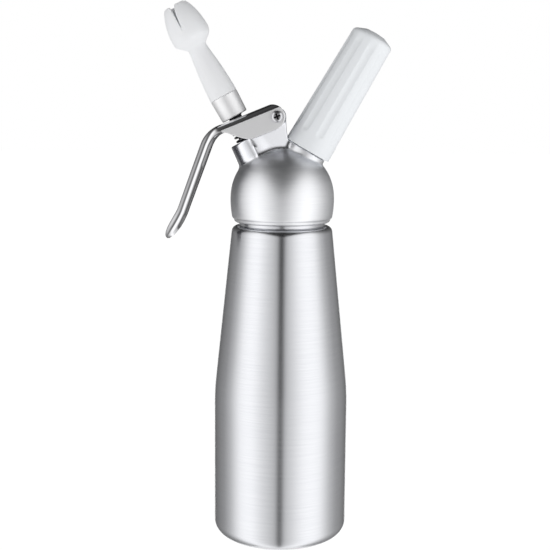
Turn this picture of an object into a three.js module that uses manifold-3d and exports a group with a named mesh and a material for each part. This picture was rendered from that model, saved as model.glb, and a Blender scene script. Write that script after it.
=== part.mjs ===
import * as THREE from 'three';
import { mergeVertices } from 'three/addons/utils/BufferGeometryUtils.js';
import Module from 'manifold-3d';

// A hand-held whipped cream dispenser in millimetres, +Z up, standing on its bottle.
// The origin is the centre of the bottle's base. The nozzle and the lever lean to -X,
// and the charger holder leans to +X, so XZ is the plane of symmetry.

const wasm = await Module();
wasm.setup();

// Clearances that every piece shares
const seatGap = 0.3; // between faces that rest on each other
const slipGap = 0.2; // radial, where one round piece sits or slides in another
const threadGap = 0.3; // radial, from the crest of one thread to the root of its mate
const threadSink = 0.4; // how deep a thread's foot is buried in its own wall
const threadRunOutShare = 0.12; // of a thread's length, over which each of its ends rises
const threadEndShare = 0.05; // of a thread's depth, left at its very ends
const overrun = 3; // how far a cutting shape runs past the face it opens
const weldDistance = 0.0001;

// Facets of a full turn
const bodyFacets = 36;
const partFacets = 24;
const smallFacets = 16;
const nippleFacets = 20;
const portFacets = 8;

// Bottle
const bottleRadius = 40;
const bottleWall = 1.6;
const bottleBaseRound = 7.8;
const bottleStraightHeight = 80;
const bottleBlendHeight = 18;
const shoulderHeight = 182;
const shoulderRadius = 30.3;
const shoulderRise = 6.5;
const shoulderRound = 4;
const neckRadius = 25.5;
const neckHeight = 17.5;
const neckWall = 1.9;
const neckPitch = 3;
const neckThreadDepth = 1.1;
const neckThreadFoot = 1.5;
const neckThreadCrest = 0.7;
const neckThreadTurns = 2.5;
const neckThreadGap = 0.4;
const neckPlainHeight = 3.2;

// Head gasket
const gasketOverhang = 0.4;
const gasketThickness = 2.3;

// Head casting: dome, valve housing, web and charger boss
const headWall = 4.7;
const headSkirtGap = 2;
const headEquatorDrop = 5;
const headCrown = 30.2;
const headCrownPower = 2.15;
const headSkirtTaper = 41;
const headSkirtRound = 2;
const headLipRise = 0.7;
const crownWall = 6.1;
const gasketLip = 1;
const headThreadTurns = 2.2;

const valveTilt = THREE.MathUtils.degToRad(29);
const valveAxisDrop = 2.5; // where the valve axis meets the bottle's, below the dome's equator
const housingRadius = 10.55;
const housingDraft = 0.09; // growth in radius for each unit down the housing
const housingSeatRecess = 0.3;
const housingSeatThickness = 3.6;
const pocketDepth = 9.2;
const pocketRadius = 7.6;

const inletTilt = THREE.MathUtils.degToRad(30);
const inletAxisRise = 4; // where the charger axis meets the bottle's, above the dome's equator
const bossRadius = 12;
const bossThreadLength = 12;
const holderRimGap = 1.8;

const webFlank = THREE.MathUtils.degToRad(15); // the turn of the web's flanks, which draw in to the pivot
const barrelRadius = 5;

// Lever: a U-shaped pressing whose cheeks straddle the valve housing
const leverSheet = 1.5;
const cheekClearance = 0.85; // from the top of the housing to the inside of a cheek
const cheekDrop = 6.6; // from the pivot to the cheeks' lower edge
const bandRise = 7.95; // from the pivot to the outside of the band
const bandTilt = THREE.MathUtils.degToRad(6.6); // the band's slope against the valve axis' normal
const pivotArm = 21.8; // from the valve axis to the pivot
const pivotRise = 2.9; // from the top of the housing to the pivot
const cheekEndSet = 2.6; // from the pivot to the centre of the cheeks' round end
const bandReach = 41.7; // from the pivot to the corner of band and handle
const handleTurn = THREE.MathUtils.degToRad(47.5);
const handleBend = 18;
const handleLength = 49.2;
const flareTurn = THREE.MathUtils.degToRad(10);
const flareBend = 26;
const flareLength = 18.3;
const hollowShare = 0.74; // of the flare, how far its hollow side reaches
const handleDepth = 5.2;
const handleWidth = 19;
const leverTravel = THREE.MathUtils.degToRad(12);
const pinRadius = 2.3;
const screwHeadRadius = 3.4;
const screwHeadHeight = 1.9;
const screwCrossLength = 3.6;
const screwCrossWidth = 0.9;
const screwCrossDepth = 1.2;
const screwRoundShare = 0.75; // of the radius, where a head's round meets its top
const screwRoundStartShare = 0.5; // of the height, where the round starts
const screwRoundEndShare = 0.85; // of the height, where it ends

// Valve
const stemRadius = 4.3;
const stemBoreRadius = 2.2;
const stemThreadCrest = 4.5;
const stemThreadDepth = 0.65;
const stemPitch = 2;
const stemThreadFoot = 0.95;
const stemThreadTop = 0.4;
const stemThreadTurns = 5;
const portRadius = 1;
const poppetRadius = 6.8;
const poppetThickness = 2;
const poppetSealThickness = 2.4;
const ringThickness = 1.8;
const ringRadius = 6.2;
const bushSpigotLength = 1.1;
const bushFlangeRadius = 7.3;
const bushFlangeThickness = 1.2;
const stemNutRadius = 7.6;
const stemNutThickness = 3.4;
const springWire = 1.2;
const springRadius = 5.95; // to the middle of the wire
const springTurns = 6;
const springEndRise = 1.75; // rise of a closed end turn

// Nozzle
const nozzleBaseRadius = 8.4;
const nozzleBaseFootRadius = 8;
const nozzleBaseHeight = 12.5;
const nozzleBaseEdge = 0.5;
const nozzleBandGap = 0.95;
const nozzleThreadLength = 9.7;
const nozzleThreadTurns = 3.4;
const washerThickness = 1;
const spigotRadius = 6.3;
const spigotLength = 1.5;
const nozzleConeLength = 32;
const nozzleConePower = 1.5; // how the cone's side curves: 1 is straight
const nozzleNeckRadius = 5.6;
const nozzleBoreRadius = 2.6;
const tulipHeight = 27;
const tulipRadius = 11.3;
const tulipWall = 1.5;
const petalCount = 4;
const petalSlitDepth = 15.5;
const petalSlitWidth = 1.1; // from a slit's middle to its side, just under the rounded petal tips
const petalTipRound = 2.2;
const petalSlitTurn = THREE.MathUtils.degToRad(-12);

// Gas inlet
const nippleRadius = 3.6;
const nippleFlangeRadius = 4.7;
const nippleFlangeThickness = 1.8;
const nippleTail = 6;
const nippleEndFlange = 1.2;
const gasBoreRadius = 0.7;
const sleeveThickness = 1.1;
const sleeveLength = 3.6;
const inletGasketThickness = 1.5;
const inletGasketBore = 1.5;
const recessDepth = 8.5;
const recessRadius = 5;
const piercerRadius = 1;
const piercerBoreRadius = 0.4;
const piercerRise = 1.7; // how far the tip stands inside the charger's cap
const piercerRoot = 3.4;
const piercerPoint = 1.1;

// Gas charger, the standard 8 g capsule
const chargerRadius = 9;
const chargerLength = 66;
const chargerNeckRadius = 4.3;
const chargerNeckLength = 8;
const chargerShoulderLength = 7.5;
const chargerWall = 1.4;
const chargerCapThickness = 0.8;

// Charger holder
const holderRimRadius = 14.2;
const holderTopRadius = 12.8;
const holderCrown = 2.2;
const holderEdgeRound = 3;
const holderEndWall = 3.7;
const holderPitch = 2.5;
const holderThreadDepth = 0.7;
const holderThreadCrest = 0.5;
const holderThreadFoot = 1.1;
const bossThreadCrest = 11.4;
const holderThreadTurns = 3.4;
const fluteCount = 9;
const fluteDepth = 0.6;
const fluteRadius = 6;
const fluteStart = 8; // from the holder's rim
const fluteTurn = THREE.MathUtils.degToRad(6);

// Heights on the bottle's axis
const shoulderTop = shoulderHeight + shoulderRise;
const mouthHeight = shoulderTop + neckHeight;
const neckRoot = neckRadius - neckThreadDepth;
const mouthRadius = neckRoot - neckWall;
const gasketBottom = mouthHeight + seatGap;
const gasketTop = gasketBottom + gasketThickness;
const gasketBore = mouthRadius - gasketOverhang;
const headSeat = gasketTop + seatGap;
const headBore = neckRadius + neckThreadGap;
const headRadius = headBore + headWall;
const headBottom = shoulderTop + headSkirtGap;
const equator = headSeat - headEquatorDrop;
const cavityRadius = headRadius - crownWall;
const cavityMouth = gasketBore - gasketLip;

// Turns a closed three.js geometry into a solid that can be cut and joined
function toSolid(geometry) {
  const bare = geometry.clone();
  bare.deleteAttribute('normal');
  bare.deleteAttribute('uv');
  const welded = mergeVertices(bare, weldDistance);
  const position = welded.attributes.position;
  const corners = [0, 1, 2].map(() => new THREE.Vector3());
  const triVerts = [];
  let volume = 0;
  for (let i = 0; i < welded.index.count; i += 3) {
    const face = [0, 1, 2].map((k) => welded.index.getX(i + k));
    if (face[0] === face[1] || face[1] === face[2] || face[2] === face[0]) continue;
    face.forEach((vertex, k) => corners[k].fromBufferAttribute(position, vertex));
    volume += corners[0].dot(corners[1].clone().cross(corners[2]));
    triVerts.push(...face);
  }
  if (volume < 0) triVerts.reverse();
  const mesh = new wasm.Mesh({
    numProp: 3,
    vertProperties: new Float32Array(position.array),
    triVerts: new Uint32Array(triVerts),
  });
  return new wasm.Manifold(mesh);
}

function toGeometry(solid) {
  const mesh = solid.getMesh();
  const geometry = new THREE.BufferGeometry();
  geometry.setAttribute('position', new THREE.BufferAttribute(mesh.vertProperties, 3));
  geometry.setIndex(new THREE.BufferAttribute(mesh.triVerts, 1));
  geometry.computeVertexNormals();
  return geometry;
}

// A body of revolution about Z from a profile of [radius, height] points
function revolve(profile, facets = partFacets) {
  const points = profile.map(([radius, height]) => new THREE.Vector2(radius, height));
  const geometry = new THREE.LatheGeometry(points, facets);
  geometry.rotateX(Math.PI / 2);
  return toSolid(geometry);
}

// A ring's profile has to close on itself, so its first point comes again at the end
function revolveRing(profile, facets = partFacets) {
  return revolve([...profile, profile[0]], facets);
}

function tube(inner, outer, from, to, facets = partFacets) {
  return revolveRing([[inner, from], [outer, from], [outer, to], [inner, to]], facets);
}

function rod(radius, from, to, facets = partFacets) {
  return revolve([[0, from], [radius, from], [radius, to], [0, to]], facets);
}

// A plate whose outline lies in the XZ plane, centred on the plane of symmetry
function plate(outline, thickness) {
  const shape = new THREE.Shape(outline.map(([x, z]) => new THREE.Vector2(x, z)));
  const geometry = new THREE.ExtrudeGeometry(shape, { depth: thickness, bevelEnabled: false });
  geometry.rotateX(Math.PI / 2);
  geometry.translate(0, thickness / 2, 0);
  return toSolid(geometry);
}

// A prism whose outline lies in the YZ plane, centred on x = 0
function crossPrism(outline, length) {
  return plate(outline, length).transform(new THREE.Matrix4().makeRotationZ(Math.PI / 2).elements);
}

// Points of an arc in a plane, as [a, b] pairs
function arc(centreA, centreB, radius, from, to, steps) {
  const points = [];
  for (let i = 0; i <= steps; i += 1) {
    const angle = from + ((to - from) * i) / steps;
    points.push([centreA + radius * Math.cos(angle), centreB + radius * Math.sin(angle)]);
  }
  return points;
}

// A closed bar along a helix about Z. The section is a list of [outward, upward] points, swept
// at a number of steps a turn. reach(share) scales what stands outward, and climb(turn) is the rise.
function helixBar({ radius, turns, stepsPerTurn, section, climb, reach = () => 1 }) {
  const steps = Math.round(turns * stepsPerTurn);
  const sides = section.length;
  const positions = [];
  for (let i = 0; i <= steps; i += 1) {
    const turn = (turns * i) / steps;
    const angle = turn * 2 * Math.PI;
    for (const [outward, upward] of section) {
      const r = radius + outward * reach(i / steps);
      positions.push(r * Math.cos(angle), r * Math.sin(angle), climb(turn) + upward);
    }
  }
  const index = [];
  for (let i = 0; i < steps; i += 1) {
    for (let k = 0; k < sides; k += 1) {
      const a = i * sides + k;
      const b = i * sides + ((k + 1) % sides);
      index.push(a, b, b + sides, a, b + sides, a + sides);
    }
  }
  for (let k = 1; k < sides - 1; k += 1) {
    index.push(0, k + 1, k);
    index.push(steps * sides, steps * sides + k, steps * sides + k + 1);
  }
  const geometry = new THREE.BufferGeometry();
  geometry.setAttribute('position', new THREE.Float32BufferAttribute(positions, 3));
  geometry.setIndex(index);
  return toSolid(geometry);
}

// A screw thread: side is 1 for a ridge that stands outward from root, and -1 for one that stands inward
function thread({ root, depth, foot, crest, pitch, turns, start, side, stepsPerTurn }) {
  const slope = (foot - crest) / 2 / depth;
  const buried = foot / 2 + slope * threadSink;
  const section = [
    [-side * threadSink, -buried],
    [side * depth, -crest / 2],
    [side * depth, crest / 2],
    [-side * threadSink, buried],
  ];
  const rise = (share) => Math.min(1, share / threadRunOutShare, (1 - share) / threadRunOutShare);
  return helixBar({
    radius: root,
    turns,
    stepsPerTurn,
    section,
    climb: (turn) => start + pitch * turn,
    reach: (share) => Math.max(rise(share), threadEndShare),
  });
}

// The frames of the valve axis and of the charger axis, as matrices for solids and as groups for meshes
function tiltedFrame(height, tilt) {
  return new THREE.Matrix4().makeRotationY(tilt).setPosition(0, 0, height);
}

function raised(height) {
  return new THREE.Matrix4().makeTranslation(0, 0, height);
}

const valveFrame = tiltedFrame(equator - valveAxisDrop, -valveTilt);
const inletFrame = tiltedFrame(equator + inletAxisRise, inletTilt);

// Where an axis leaves a sphere about the dome's centre, measured along the axis from its own origin
function sphereExit(offset, tilt, radius) {
  const across = offset * Math.sin(tilt);
  return offset * Math.cos(tilt) + Math.sqrt(radius * radius - across * across);
}

// Stations along the valve axis
const seatLevel = sphereExit(valveAxisDrop, valveTilt, cavityRadius) + housingSeatRecess;
const glandFloor = seatLevel + housingSeatThickness;
const ringBottom = glandFloor + seatGap;
const ringTop = ringBottom + ringThickness;
const bushBottom = ringTop + seatGap;
const pocketFloor = bushBottom + bushSpigotLength;
const bushTop = pocketFloor + seatGap + bushFlangeThickness;
const housingTop = pocketFloor + pocketDepth;
const pivotLevel = housingTop + pivotRise;

// The level of a plane of the band where it crosses a point beside the valve axis, x towards the pivot.
// height is from the pivot to that plane and tilt its slope against the axis' normal.
function bandLevel(height, tilt, x) {
  return pivotLevel + height / Math.cos(tilt) + (pivotArm - x) * Math.tan(tilt);
}

const bandUnder = bandRise - leverSheet;
const pressedTilt = bandTilt - leverTravel;
const valveStroke = bandLevel(bandUnder, bandTilt, 0) - bandLevel(bandUnder, pressedTilt, 0);
const nutRim = Math.min(
  bandLevel(bandUnder, bandTilt, stemNutRadius),
  bandLevel(bandUnder, pressedTilt, -stemNutRadius) + valveStroke,
) - seatGap;
const nutBottom = nutRim - stemNutThickness;
const nozzleBottom = bandLevel(bandRise, bandTilt, -nozzleBaseRadius) + nozzleBandGap;
const stemTop = nozzleBottom + nozzleThreadLength;
const washerBottom = stemTop + seatGap;
const washerTop = washerBottom + washerThickness;
const spigotBottom = washerTop + seatGap;
const nozzleBaseTop = nozzleBottom + nozzleBaseHeight;
const nozzleFoot = Math.max(nozzleBaseTop + seatGap, spigotBottom + spigotLength);
const tulipFoot = nozzleFoot + nozzleConeLength;
const tulipTop = tulipFoot + tulipHeight;

// Stations along the charger axis
const inletCeiling = sphereExit(-inletAxisRise, inletTilt, cavityRadius);
const holderRim = sphereExit(-inletAxisRise, inletTilt, headRadius) + holderRimGap;
const bossShoulder = holderRim - seatGap;
const bossTop = holderRim + bossThreadLength;
const recessFloor = bossTop - recessDepth;
const nippleSeat = recessFloor + seatGap;
const nippleTop = nippleSeat + nippleFlangeThickness;
const inletGasketBottom = nippleTop + seatGap;
const inletGasketTop = inletGasketBottom + inletGasketThickness;
const chargerTip = inletGasketTop + seatGap;
const chargerEnd = chargerTip + chargerLength;
const chargerDomeCentre = chargerEnd - chargerRadius;
const chamberRadius = chargerRadius + 2 * slipGap;
const holderInnerEnd = chargerDomeCentre + chamberRadius;
const holderTop = holderInnerEnd + holderEndWall;
const nippleBottom = inletCeiling - nippleTail;

// Lever geometry in its own plane: along runs from the pivot towards the handle, up is the band's normal
const handleDirection = new THREE.Vector2(Math.cos(handleTurn), -Math.sin(handleTurn));
const flareDirection = new THREE.Vector2(
  Math.cos(handleTurn - flareTurn),
  -Math.sin(handleTurn - flareTurn),
);
const cornerPoint = new THREE.Vector2(bandReach, bandRise);
const flareCorner = cornerPoint.clone().addScaledVector(handleDirection, handleLength);
const cheekRound = (bandRise + cheekDrop) / 2;
const cheekCentre = bandRise - cheekRound;

// The outside of band and handle from the cheeks' round end to the tip, set in from it by a distance
function leverSpine(inset) {
  const bendStart = bandReach - Math.tan(handleTurn / 2) * handleBend;
  const up = Math.PI / 2;
  const points = arc(bendStart, bandRise - handleBend, handleBend - inset, up, up - handleTurn, 6);
  const flareRun = Math.tan(flareTurn / 2) * flareBend;
  const flareStart = flareCorner.clone().addScaledVector(handleDirection, -flareRun);
  const outward = new THREE.Vector2(-handleDirection.y, handleDirection.x);
  const flareCentre = flareStart.clone().addScaledVector(outward, flareBend);
  const fromAngle = Math.atan2(-outward.y, -outward.x);
  points.push(...arc(flareCentre.x, flareCentre.y, flareBend + inset, fromAngle, fromAngle + flareTurn, 3));
  return points;
}

// Lower edge of a cheek, from the pivot end to the handle: shares of the reach and of the full cheek height
const cheekEdgeShares = [
  [0.4, 0.0],
  [0.45, 0.02],
  [0.5, 0.08],
  [0.57, 0.21],
  [0.65, 0.39],
  [0.72, 0.57],
  [0.78, 0.68],
];

// The handle's dished tip, from outside round to its free edge: shares of the flare and of the handle's depth
const tipShares = [
  [0.82, 0.08],
  [0.94, 0.35],
  [1.0, 0.62],
  [0.96, 0.88],
  [0.83, 1.12],
  [0.62, 1.24],
  [0.36, 1.17],
];

function leverOutline() {
  const cheekHeight = bandRise + cheekDrop;
  const flareSide = new THREE.Vector2(flareDirection.y, -flareDirection.x);
  const nose = tipShares.map(([along, deep]) => {
    const point = flareCorner.clone().addScaledVector(flareDirection, flareLength * along);
    point.addScaledVector(flareSide, handleDepth * deep);
    return [point.x, point.y];
  });
  return [
    ...arc(cheekEndSet, cheekCentre, cheekRound, (3 * Math.PI) / 2, Math.PI / 2, 10),
    ...leverSpine(0),
    ...nose,
    ...leverSpine(handleDepth).reverse(),
    ...cheekEdgeShares.map(([along, up]) => [bandReach * along, cheekHeight * up - cheekDrop]).reverse(),
  ];
}

// What the pressing leaves open under its band, out past its free edges
function leverHollow() {
  const inside = flareDirection.clone().multiplyScalar(flareLength * hollowShare).add(flareCorner);
  const flareSide = new THREE.Vector2(flareDirection.y, -flareDirection.x);
  const tip = inside.clone().addScaledVector(flareSide, leverSheet);
  const far = tip.clone().addScaledVector(flareSide, bandReach);
  return [
    [-2 * cheekRound, bandRise - leverSheet],
    ...leverSpine(leverSheet),
    [tip.x, tip.y],
    [far.x, far.y],
    [-2 * cheekRound, -bandReach],
  ];
}

// The lever's plane in the frame of the valve axis: its along axis points away from the pivot
const leverInValve = new THREE.Matrix4().makeBasis(
  new THREE.Vector3(-Math.cos(bandTilt), 0, Math.sin(bandTilt)),
  new THREE.Vector3(0, -1, 0),
  new THREE.Vector3(Math.sin(bandTilt), 0, Math.cos(bandTilt)),
).setPosition(pivotArm, 0, pivotLevel);
const leverFrame = valveFrame.clone().multiply(leverInValve);

const cheekInside = housingRadius + cheekClearance;
const leverHalfWidth = cheekInside + leverSheet;

function inFrame(solid, frame) {
  return solid.transform(frame.elements);
}

// A rod across the lever's plane at the pivot
function crossRod(radius, length, facets = smallFacets) {
  const lying = new THREE.Matrix4().makeRotationX(Math.PI / 2);
  return inFrame(rod(radius, -length / 2, length / 2, facets), lying);
}

// The bottle: a drawn aluminium flask with a threaded neck
function bottleOutside(inset, steps) {
  const blendTop = bottleStraightHeight + bottleBlendHeight;
  const slope = (bottleRadius - shoulderRadius) / (shoulderHeight - blendTop + bottleBlendHeight / 2);
  const round = bottleBaseRound - inset;
  const points = arc(bottleRadius - bottleBaseRound, bottleBaseRound, round, -Math.PI / 2, 0, steps + 1);
  for (let i = 0; i <= steps; i += 1) {
    const share = i / steps;
    const drop = (slope * bottleBlendHeight * share * share) / 2;
    points.push([bottleRadius - inset - drop, bottleStraightHeight + bottleBlendHeight * share]);
  }
  const lowShoulder = shoulderTop - shoulderRound - inset;
  points.push([bottleRadius - inset - slope * (lowShoulder - blendTop + bottleBlendHeight / 2), lowShoulder]);
  return points;
}

function makeBottle() {
  const outside = bottleOutside(0, 3);
  const lowShoulder = outside[outside.length - 1];
  const inside = bottleOutside(bottleWall, 2);
  const lowInside = inside[inside.length - 1];
  const innerShoulder = arc(lowInside[0] - shoulderRound, lowInside[1], shoulderRound, 0, Math.PI / 2, 3);
  const plainTop = shoulderTop + neckPlainHeight;
  const body = revolve([
    [0, 0],
    ...outside,
    ...arc(lowShoulder[0] - shoulderRound, lowShoulder[1], shoulderRound, 0, Math.PI / 2, 4).slice(1),
    [neckRadius, shoulderTop],
    [neckRadius, plainTop],
    [neckRoot, plainTop],
    [neckRoot, mouthHeight],
    [mouthRadius, mouthHeight],
    [mouthRadius, shoulderTop - 2 * bottleWall],
    ...innerShoulder.slice(1, -1).reverse(),
    ...inside.reverse(),
    [0, bottleWall],
  ], bodyFacets);
  return body.add(thread({
    root: neckRoot,
    depth: neckThreadDepth,
    foot: neckThreadFoot,
    crest: neckThreadCrest,
    pitch: neckPitch,
    turns: neckThreadTurns,
    start: plainTop + neckThreadFoot / 2,
    side: 1,
    stepsPerTurn: bodyFacets,
  }));
}

// The head casting, made in the bottle's frame
function domeProfile() {
  const points = [];
  const skirtSteps = 3;
  const roundTop = headBottom + headSkirtRound;
  const skirtRadius = (z) => headRadius * Math.sqrt(1 - ((equator - z) / headSkirtTaper) ** 2);
  const edge = skirtRadius(roundTop);
  points.push(...arc(edge - headSkirtRound, roundTop, headSkirtRound, -Math.PI / 2, 0, 3));
  for (let i = 1; i <= skirtSteps; i += 1) {
    const z = roundTop + ((equator - roundTop) * i) / skirtSteps;
    points.push([skirtRadius(z), z]);
  }
  const crownSteps = 8;
  for (let i = 1; i <= crownSteps; i += 1) {
    const angle = ((Math.PI / 2) * i) / crownSteps;
    const radius = i === crownSteps ? 0 : headRadius * Math.cos(angle) ** (2 / headCrownPower);
    points.push([radius, equator + headCrown * Math.sin(angle) ** (2 / headCrownPower)]);
  }
  return points;
}

// What bounds the web sideways, along the valve axis: its flanks leave the housing at a tangent
function webWedge() {
  const start = housingRadius * Math.sin(webFlank);
  const startWidth = housingRadius * Math.cos(webFlank);
  const end = startWidth / Math.tan(webFlank);
  const shape = new THREE.Shape([
    new THREE.Vector2(-start, startWidth),
    new THREE.Vector2(-start, -startWidth),
    new THREE.Vector2(start, -startWidth),
    new THREE.Vector2(start + end, 0),
    new THREE.Vector2(start, startWidth),
  ]);
  const depth = pivotLevel + 2 * barrelRadius;
  return toSolid(new THREE.ExtrudeGeometry(shape, { depth, bevelEnabled: false }));
}

function makeHeadCasting() {
  const dome = revolve([[0, headBottom], ...domeProfile()], bodyFacets);
  const housing = inFrame(revolve([
    [0, 0],
    [housingRadius + housingDraft * housingTop, 0],
    [housingRadius, housingTop],
    [0, housingTop],
  ]), valveFrame);
  const boss = inFrame(revolve([
    [0, 0],
    [bossRadius, 0],
    [bossRadius, bossShoulder],
    [bossThreadCrest - holderThreadDepth, bossShoulder],
    [bossThreadCrest - holderThreadDepth, bossTop],
    [0, bossTop],
  ]).add(thread({
    root: bossThreadCrest - holderThreadDepth,
    depth: holderThreadDepth,
    foot: holderThreadFoot,
    crest: holderThreadCrest,
    pitch: holderPitch,
    turns: holderThreadTurns,
    start: bossShoulder + holderThreadFoot,
    side: 1,
    stepsPerTurn: partFacets,
  })), inletFrame);

  const pivot = new THREE.Vector3(0, 0, 0).applyMatrix4(leverFrame);
  const housingMiddle = new THREE.Vector3(0, 0, housingTop - pocketDepth).applyMatrix4(valveFrame);
  const rimCorner = new THREE.Vector3(-holderRimRadius, 0, bossShoulder - seatGap).applyMatrix4(inletFrame);
  const bossMiddle = new THREE.Vector3(0, 0, bossShoulder - seatGap).applyMatrix4(inletFrame);
  const webOutline = [
    [0, equator],
    [housingMiddle.x, housingMiddle.z],
    ...arc(pivot.x, pivot.z, barrelRadius, Math.PI, 0, 6),
    [rimCorner.x, rimCorner.z],
    [bossMiddle.x, bossMiddle.z],
  ];
  const web = plate(webOutline, 2 * housingRadius).intersect(inFrame(webWedge(), valveFrame));
  const barrel = inFrame(crossRod(barrelRadius, 2 * (cheekInside - seatGap)), leverFrame);

  const ceilingAngle = Math.asin(cavityMouth / cavityRadius);
  const ceiling = arc(0, equator, cavityRadius, Math.PI / 2 - ceilingAngle, Math.PI / 2, 5);
  ceiling[ceiling.length - 1][0] = 0;
  const hollow = revolve([
    [0, headBottom - overrun],
    [headBore + headLipRise + overrun, headBottom - overrun],
    [headBore, headBottom + headLipRise],
    [headBore, headSeat],
    [cavityMouth, headSeat],
    ...ceiling,
  ], bodyFacets);

  const valveCut = inFrame(revolve([
    [0, seatLevel - overrun],
    [poppetRadius + 2 * seatGap, seatLevel - overrun],
    [poppetRadius + 2 * seatGap, seatLevel],
    [stemThreadCrest + slipGap, seatLevel],
    [stemThreadCrest + slipGap, glandFloor],
    [ringRadius + slipGap, glandFloor],
    [ringRadius + slipGap, pocketFloor],
    [pocketRadius, pocketFloor],
    [pocketRadius, housingTop + overrun],
    [0, housingTop + overrun],
  ]), valveFrame);
  const inletCut = inFrame(revolve([
    [0, inletCeiling - overrun],
    [nippleRadius + slipGap, inletCeiling - overrun],
    [nippleRadius + slipGap, recessFloor],
    [recessRadius, recessFloor],
    [recessRadius, bossTop + overrun],
    [0, bossTop + overrun],
  ]), inletFrame);
  const pinHole = inFrame(crossRod(pinRadius + slipGap, 4 * cheekInside), leverFrame);
  const headThread = thread({
    root: headBore,
    depth: neckThreadDepth,
    foot: neckThreadFoot,
    crest: neckThreadCrest,
    pitch: neckPitch,
    turns: headThreadTurns,
    start: shoulderTop + neckPlainHeight + neckThreadFoot / 2 + neckPitch / 2,
    side: -1,
    stepsPerTurn: bodyFacets,
  });
  return dome.add(housing).add(boss).add(web).add(barrel)
    .subtract(hollow).subtract(valveCut).subtract(inletCut).subtract(pinHole).add(headThread);
}

// Pieces of the valve, made along the valve axis
function makeStem() {
  const poppetTop = seatLevel - seatGap - poppetSealThickness - seatGap;
  const poppetBottom = poppetTop - poppetThickness;
  const portLevel = seatLevel + housingSeatThickness / 2;
  const threadRoot = stemThreadCrest - stemThreadDepth;
  const threadStart = nutRim + seatGap;
  const core = revolve([
    [0, poppetBottom],
    [poppetRadius, poppetBottom],
    [poppetRadius, poppetTop],
    [stemRadius, poppetTop],
    [stemRadius, threadStart],
    [threadRoot, threadStart + stemThreadDepth],
    [threadRoot, stemTop],
    [stemBoreRadius, stemTop],
    [stemBoreRadius, portLevel - portRadius],
    [0, portLevel - portRadius],
  ], partFacets);
  const port = inFrame(crossRod(portRadius, 4 * stemRadius), raised(portLevel));
  const turned = new THREE.Matrix4().makeRotationZ(Math.PI / 2);
  const ridge = thread({
    root: threadRoot,
    depth: stemThreadDepth,
    foot: stemThreadFoot,
    crest: stemThreadTop,
    pitch: stemPitch,
    turns: stemThreadTurns,
    start: threadStart + stemThreadDepth + stemThreadFoot,
    side: 1,
    stepsPerTurn: smallFacets,
  });
  return core.subtract(port).subtract(inFrame(port, turned)).add(ridge);
}

// The helix that the nozzle's thread shares with the stem's, half a pitch away
function nozzleThreadStart() {
  const stemThreadStart = nutRim + seatGap + stemThreadDepth + stemThreadFoot;
  const turnsBelow = Math.ceil((nozzleBottom + stemThreadFoot - stemThreadStart) / stemPitch);
  return stemThreadStart + stemPitch * turnsBelow + stemPitch / 2 - stemPitch;
}

function springHeight(turn) {
  const length = nutBottom - seatGap - (bushTop + seatGap) - springWire;
  const middleRise = (length - 2 * springEndRise) / (springTurns - 2);
  const start = bushTop + seatGap + springWire / 2;
  const opened = Math.min(Math.max(turn - 1, 0), springTurns - 2);
  const closed = turn - opened;
  return start + closed * springEndRise + opened * middleRise;
}

function makeSpring() {
  const sides = 5;
  const section = [];
  for (let k = 0; k < sides; k += 1) {
    const angle = (2 * Math.PI * k) / sides;
    section.push([(springWire / 2) * Math.cos(angle), (springWire / 2) * Math.sin(angle)]);
  }
  const stepsPerTurn = 12;
  let least = Infinity;
  for (let i = 0; i + stepsPerTurn <= springTurns * stepsPerTurn; i += 1) {
    const rise = springHeight(i / stepsPerTurn + 1) - springHeight(i / stepsPerTurn);
    least = Math.min(least, rise - springWire);
  }
  console.log(`return spring: least gap between turns ${least.toFixed(2)} mm`);
  return helixBar({ radius: springRadius, turns: springTurns, stepsPerTurn, section, climb: springHeight });
}

function makeStemNut() {
  const bore = stemThreadCrest + slipGap;
  const hubRadius = stemNutRadius - springWire;
  return revolveRing([
    [bore, nutBottom],
    [hubRadius, nutBottom],
    [stemNutRadius, nutBottom + springWire],
    [stemNutRadius, nutRim],
    [bore, nutRim + seatGap / 2],
  ]);
}

// Nozzle pieces
function makeNozzleBase() {
  const femaleRoot = stemThreadCrest + threadGap;
  const counterbore = spigotRadius + slipGap;
  const body = revolveRing([
    [femaleRoot, nozzleBottom],
    [nozzleBaseFootRadius - nozzleBaseEdge, nozzleBottom],
    [nozzleBaseFootRadius, nozzleBottom + nozzleBaseEdge],
    [nozzleBaseRadius, nozzleBaseTop - nozzleBaseEdge],
    [nozzleBaseRadius - nozzleBaseEdge / 2, nozzleBaseTop],
    [counterbore, nozzleBaseTop],
    [counterbore, washerTop],
    [femaleRoot, washerTop],
  ]);
  const ridge = thread({
    root: femaleRoot,
    depth: stemThreadDepth,
    foot: stemThreadFoot,
    crest: stemThreadTop,
    pitch: stemPitch,
    turns: nozzleThreadTurns,
    start: nozzleThreadStart(),
    side: -1,
    stepsPerTurn: smallFacets,
  });
  return body.add(ridge);
}

// The tulip's outside, from its neck to its mouth: shares of its height and of its largest radius
const tulipShares = [
  [0.05, 0.65],
  [0.11, 0.82],
  [0.18, 0.96],
  [0.28, 1.02],
  [0.41, 1.01],
  [0.53, 0.98],
  [0.65, 0.92],
  [0.77, 0.84],
  [0.88, 0.74],
  [0.97, 0.63],
];

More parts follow.
